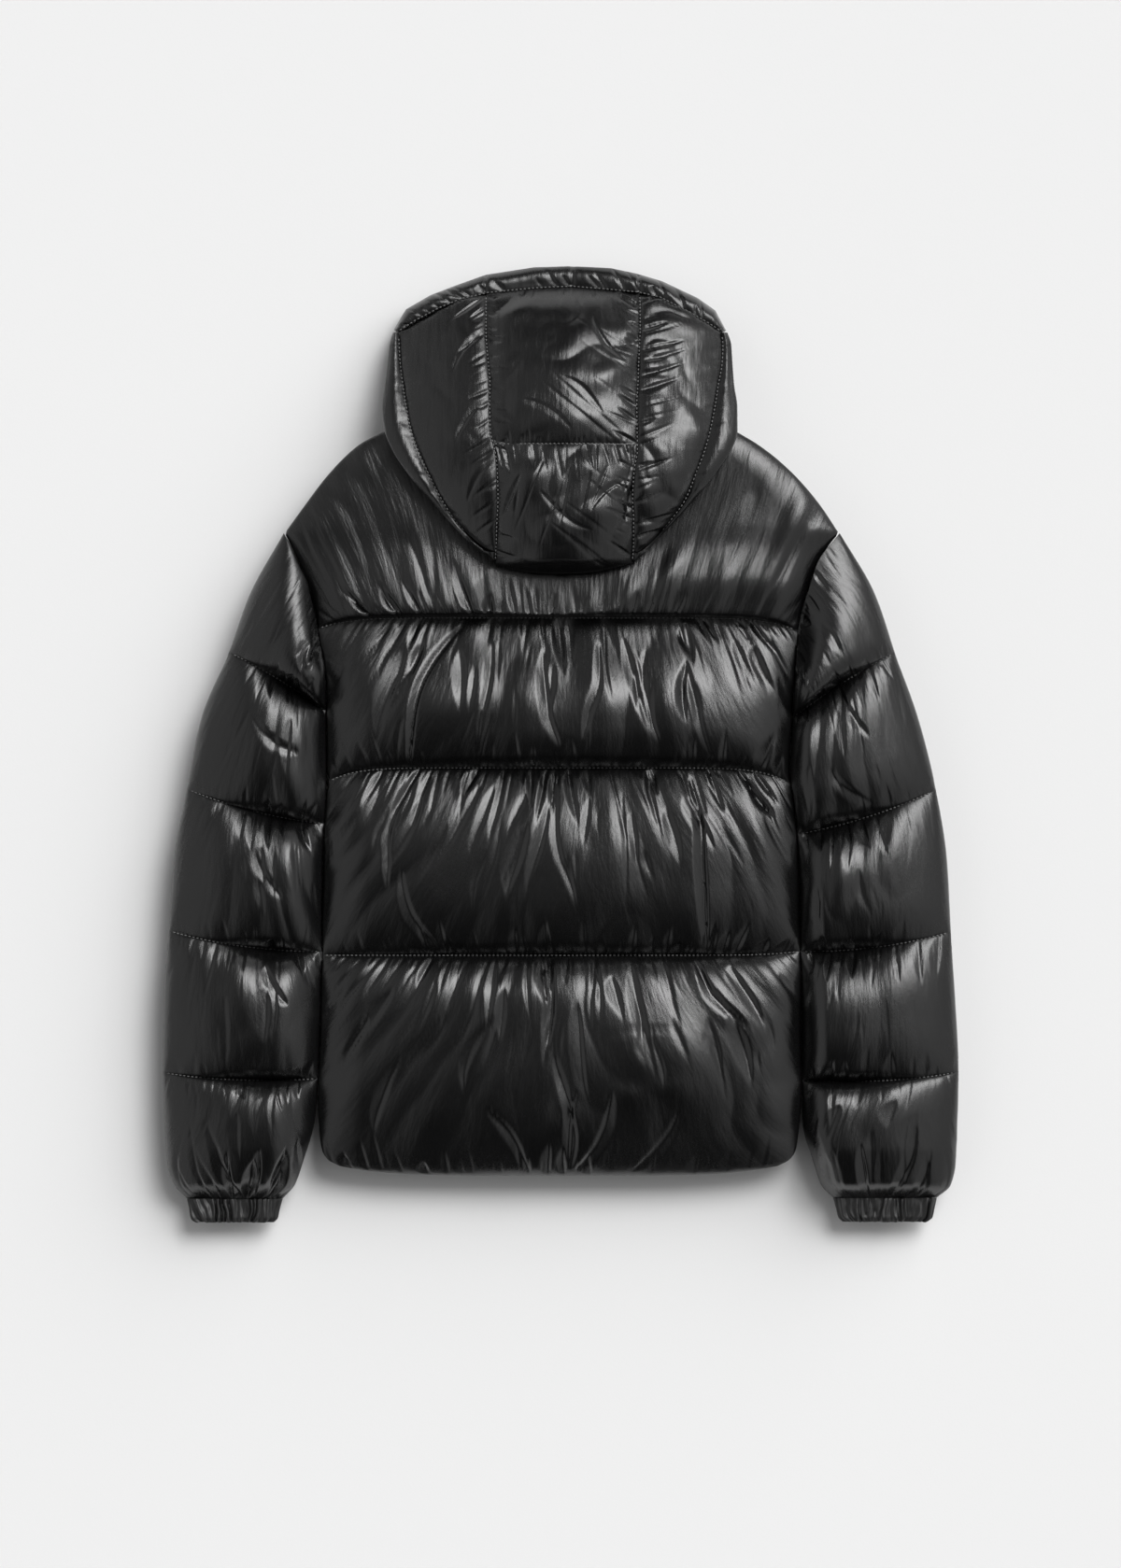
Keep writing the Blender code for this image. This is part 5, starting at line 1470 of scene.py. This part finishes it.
def finish(name):
    """A finish by its name, made once."""
    if name in bpy.data.materials:
        return bpy.data.materials[name]
    colours = bpy.context.scene.jacket_colours
    if name == "shell_nylon":
        return cloth_finish(name, colours.shell, colours.shell_roughness, WEAVE_PITCH, 0.0006)
    if name == "cuff_nylon":
        return cloth_finish(name, colours.cuff, colours.shell_roughness + 0.15, WEAVE_PITCH, 0.0003)
    # The stitches' grey is partly the black thread's own colour and partly a painted glint along the seams.
    if name == "thread_and_painted_glint":
        return thread_finish(name, colours.thread_and_glint)
    if name == "zip_plastic":
        return hard_finish(name, colours.zip_chain, 0.42, 0.0)
    if name == "slider_metal":
        return hard_finish(name, colours.slider, 0.32, 1.0)
    if name == "pale_board":
        return floor_finish(name, colours.floor)
    raise ValueError("no finish is called " + name)


# ---------------------------------------------------------------- stage
def make_floor():
    """A square board under the jacket, far larger than the picture."""
    mesh = bpy.data.meshes.new("floor")
    half = FLOOR_HALF
    corners = [(-half, -half, 0.0), (half, -half, 0.0), (half, half, 0.0), (-half, half, 0.0)]
    mesh.from_pydata(corners, [], [(0, 1, 2, 3)])
    mesh.materials.append(finish("pale_board"))
    floor = bpy.data.objects.new("floor", mesh)
    bpy.context.scene.collection.objects.link(floor)


def make_lights(light):
    """A high soft light, and a lower, wider one that leaves no highlights of its own."""
    for name, strength, angle, shines, direction in (
            ("key_light", light.key, 30.0, True, (0.36, 0.54, 0.76)),
            ("low_light", light.low, 62.0, False, (0.66, 0.66, 0.36))):
        lamp = bpy.data.lights.new(name, "SUN")
        lamp.energy = strength
        lamp.angle = np.radians(angle)
        item = bpy.data.objects.new(name, lamp)
        item.rotation_euler = Vector(direction).to_track_quat("Z", "Y").to_euler()
        item.visible_glossy = shines
        bpy.context.scene.collection.objects.link(item)


def make_room(light):
    """The room as a world: a wide glow of strength cos(a)^8 round one direction, and pale side walls."""
    world = bpy.data.worlds.new("room")
    world.use_nodes = True
    tree = world.node_tree
    background = tree.nodes["Background"]
    way = put(tree, "ShaderNodeTexCoord").outputs["Generated"]
    lean = put(tree, "ShaderNodeVectorMath", operation="DOT_PRODUCT", links=((0, way),))
    lean.inputs[1].default_value = Vector((0.38, 0.46, 0.80)).normalized()
    glow = added(tree, "POWER", ranged(tree, lean.outputs["Value"], 0.0, 1.0, 0.0, 1.0), 8.0)
    across = added(tree, "ABSOLUTE", put(tree, "ShaderNodeSeparateXYZ", links=((0, way),)).outputs[0])
    strength = added(tree, "ADD", ranged(tree, glow, 0.0, 1.0, 0.04 * light.room, light.room),
                     ranged(tree, across, 0.16, 0.62, 0.0, light.sides))
    tree.links.new(strength, background.inputs["Strength"])
    background.inputs["Color"].default_value = (1.0, 1.0, 1.0, 1.0)
    bpy.context.scene.world = world


def make_camera():
    """A long lens straight above, far enough up for its picture to be frame_height metres high."""
    lens_length, sensor, frame_height, plane = 150.0, 36.0, 1.511, 0.015
    camera = bpy.data.cameras.new("camera")
    camera.lens = lens_length
    camera.sensor_width = sensor
    camera.sensor_fit = "AUTO"
    item = bpy.data.objects.new("camera", camera)
    item.location = (-0.0002, -0.038, plane + frame_height * lens_length / sensor)
    bpy.context.scene.collection.objects.link(item)
    bpy.context.scene.camera = item


# ---------------------------------------------------------------- settings
SHARE = {"min": 0.0, "max": 1.0}
COLOUR = {"size": 4, "min": 0.0, "max": 1.0, "subtype": "COLOR"}


class JacketSizes(bpy.types.PropertyGroup):
    """Sizes of the jacket's padding, folds and stitching."""
    back_loft: bpy.props.FloatProperty(
        name="Back loft", description="Rise of a back baffle over its seams", default=0.031, unit="LENGTH")
    sleeve_loft: bpy.props.FloatProperty(
        name="Sleeve loft", description="Rise of a sleeve baffle over its seams",
        default=0.033, unit="LENGTH")
    long_folds: bpy.props.FloatProperty(
        name="Long folds", description="Slope of the folds that cross a baffle", default=0.40, **SHARE)
    middling_folds: bpy.props.FloatProperty(
        name="Middling folds", description="Slope of the folds between the long ones", default=0.34, **SHARE)
    gathers: bpy.props.FloatProperty(
        name="Gathers", description="Slope of the gathers at the quilting seams", default=0.50, **SHARE)
    gather_reach: bpy.props.FloatProperty(
        name="Gather reach", description="How far a gather runs from its seam", default=0.040, unit="LENGTH")
    hood_puckers: bpy.props.FloatProperty(
        name="Hood puckers", description="Slope of the puckers at the hood's seams", default=0.6, **SHARE)
    cuff_gathers: bpy.props.FloatProperty(
        name="Cuff gathers", description="Depth of the gathers of the elastic cuffs",
        default=0.0015, unit="LENGTH")
    stitch_pitch: bpy.props.FloatProperty(
        name="Stitch pitch", description="From one stitch to the next", default=0.0040, unit="LENGTH")
    stitch_length: bpy.props.FloatProperty(
        name="Stitch length", description="Length of a stitch that shows", default=0.0026, unit="LENGTH")
    thread_width: bpy.props.FloatProperty(
        name="Thread width", description="Thickness of the sewing thread", default=0.0013, unit="LENGTH")


class JacketColours(bpy.types.PropertyGroup):
    """Colours and gloss of the jacket and its stage."""
    shell: bpy.props.FloatVectorProperty(
        name="Shell", description="Glossy nylon of the body, sleeves and hood",
        default=(0.0022, 0.0022, 0.0023, 1.0), **COLOUR)
    cuff: bpy.props.FloatVectorProperty(
        name="Cuffs", description="Cloth of the elastic cuffs", default=(0.0022, 0.0022, 0.0023, 1.0),
        **COLOUR)
    # Far paler than the black thread itself: partly its own dark colour, partly a painted glint on the
    # stitches.
    thread_and_glint: bpy.props.FloatVectorProperty(
        name="Thread", description="Sewing thread", default=(0.14, 0.14, 0.14, 1.0), **COLOUR)
    zip_chain: bpy.props.FloatVectorProperty(
        name="Zip teeth", description="Moulded zip teeth", default=(0.012, 0.012, 0.012, 1.0),
        **COLOUR)
    slider: bpy.props.FloatVectorProperty(
        name="Zip slider", description="Blackened metal of the slider", default=(0.06, 0.06, 0.062, 1.0),
        **COLOUR)
    floor: bpy.props.FloatVectorProperty(
        name="Floor", description="Pale board that the jacket lies on", default=(0.825, 0.825, 0.825, 1.0),
        **COLOUR)
    shell_roughness: bpy.props.FloatProperty(
        name="Shell roughness", description="How blurred the shell's highlights are",
        default=0.245, subtype="FACTOR", **SHARE)


class JacketLight(bpy.types.PropertyGroup):
    """Strength of the studio light."""
    key: bpy.props.FloatProperty(
        name="Key light", description="Strength of the high soft light", default=1.46, min=0.0)
    low: bpy.props.FloatProperty(
        name="Low light", description="Strength of the low soft light", default=3.1, min=0.0)
    sides: bpy.props.FloatProperty(
        name="Side light", description="Strength of the pale walls at both sides", default=0.42, min=0.0)
    room: bpy.props.FloatProperty(
        name="Room light", description="Strength of the wide glow round the lights", default=0.72, min=0.0)


def jacket():
    """The sizes in use."""
    return bpy.context.scene.jacket_sizes


# ---------------------------------------------------------------- operators
class JACKET_OT_body(bpy.types.Operator):
    """Builds the back and the two fronts"""
    bl_idname = "jacket.body"
    bl_label = "Body"

    def execute(self, context):
        make_back()
        make_front("front_left", -1)
        make_front("front_right", 1)
        return {"FINISHED"}


class JACKET_OT_sleeves(bpy.types.Operator):
    """Builds the two sleeves"""
    bl_idname = "jacket.sleeves"
    bl_label = "Sleeves"

    def execute(self, context):
        make_sleeve("sleeve_left", SLEEVE_LEFT, -1)
        make_sleeve("sleeve_right", SLEEVE_RIGHT, 1)
        return {"FINISHED"}


class JACKET_OT_cuffs(bpy.types.Operator):
    """Builds the two elastic cuffs"""
    bl_idname = "jacket.cuffs"
    bl_label = "Cuffs"

    def execute(self, context):
        make_cuff("cuff_left", CUFF_LEFT)
        make_cuff("cuff_right", CUFF_RIGHT)
        return {"FINISHED"}


class JACKET_OT_hood(bpy.types.Operator):
    """Builds the hood's centre, sides, edges and brim"""
    bl_idname = "jacket.hood"
    bl_label = "Hood"

    def execute(self, context):
        make_hood_centre()
        for name, side in (("left", -1), ("right", 1)):
            make_hood_side("hood_side_" + name, side)
            make_hood_edge("hood_edge_" + name, side)
        make_hood_brim()
        return {"FINISHED"}


class JACKET_OT_stitching(bpy.types.Operator):
    """Sews the stitches that show along the seams"""
    bl_idname = "jacket.stitching"
    bl_label = "Stitching"

    def execute(self, context):
        make_stitches()
        return {"FINISHED"}


class JACKET_OT_zip(bpy.types.Operator):
    """Builds the closed zip under the jacket and finishes its slider"""
    bl_idname = "jacket.zip"
    bl_label = "Zip"

    def execute(self, context):
        make_zip()
        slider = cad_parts["zip_slider"]
        for place in range(len(slider.material_slots)):
            slider.material_slots[place].material = finish("slider_metal")
        return {"FINISHED"}


class JACKET_OT_stage(bpy.types.Operator):
    """Sets the pale floor, the soft light, the room and the camera"""
    bl_idname = "jacket.stage"
    bl_label = "Stage"

    def execute(self, context):
        make_floor()
        make_lights(context.scene.jacket_light)
        make_room(context.scene.jacket_light)
        make_camera()
        context.scene.view_settings.view_transform = "Standard"
        return {"FINISHED"}


class JACKET_PT_panel(bpy.types.Panel):
    """Lists the jacket's sizes, colours and pieces"""
    bl_idname = "JACKET_PT_panel"
    bl_label = "Puffer jacket"
    bl_space_type = "VIEW_3D"
    bl_region_type = "UI"
    bl_category = "Jacket"

    def draw(self, context):
        layout = self.layout
        for group in (context.scene.jacket_sizes, context.scene.jacket_colours, context.scene.jacket_light):
            box = layout.box()
            for name in group.__annotations__:
                box.prop(group, name)
        for step in STEPS:
            layout.operator(step.bl_idname)


STEPS = (
    JACKET_OT_stage, JACKET_OT_body, JACKET_OT_sleeves, JACKET_OT_cuffs, JACKET_OT_hood,
    JACKET_OT_stitching, JACKET_OT_zip)
CLASSES = (JacketSizes, JacketColours, JacketLight) + STEPS + (JACKET_PT_panel,)


def register():
    for item in CLASSES:
        bpy.utils.register_class(item)
    bpy.types.Scene.jacket_sizes = bpy.props.PointerProperty(type=JacketSizes)
    bpy.types.Scene.jacket_colours = bpy.props.PointerProperty(type=JacketColours)
    bpy.types.Scene.jacket_light = bpy.props.PointerProperty(type=JacketLight)


def unregister():
    del bpy.types.Scene.jacket_sizes, bpy.types.Scene.jacket_colours, bpy.types.Scene.jacket_light
    for item in reversed(CLASSES):
        bpy.utils.unregister_class(item)


def main():
    """Builds every piece and the stage."""
    register()
    for step in (bpy.ops.jacket.stage, bpy.ops.jacket.body, bpy.ops.jacket.sleeves, bpy.ops.jacket.cuffs,
                 bpy.ops.jacket.hood, bpy.ops.jacket.stitching, bpy.ops.jacket.zip):
        step()


if __name__ == "__main__":
    main()
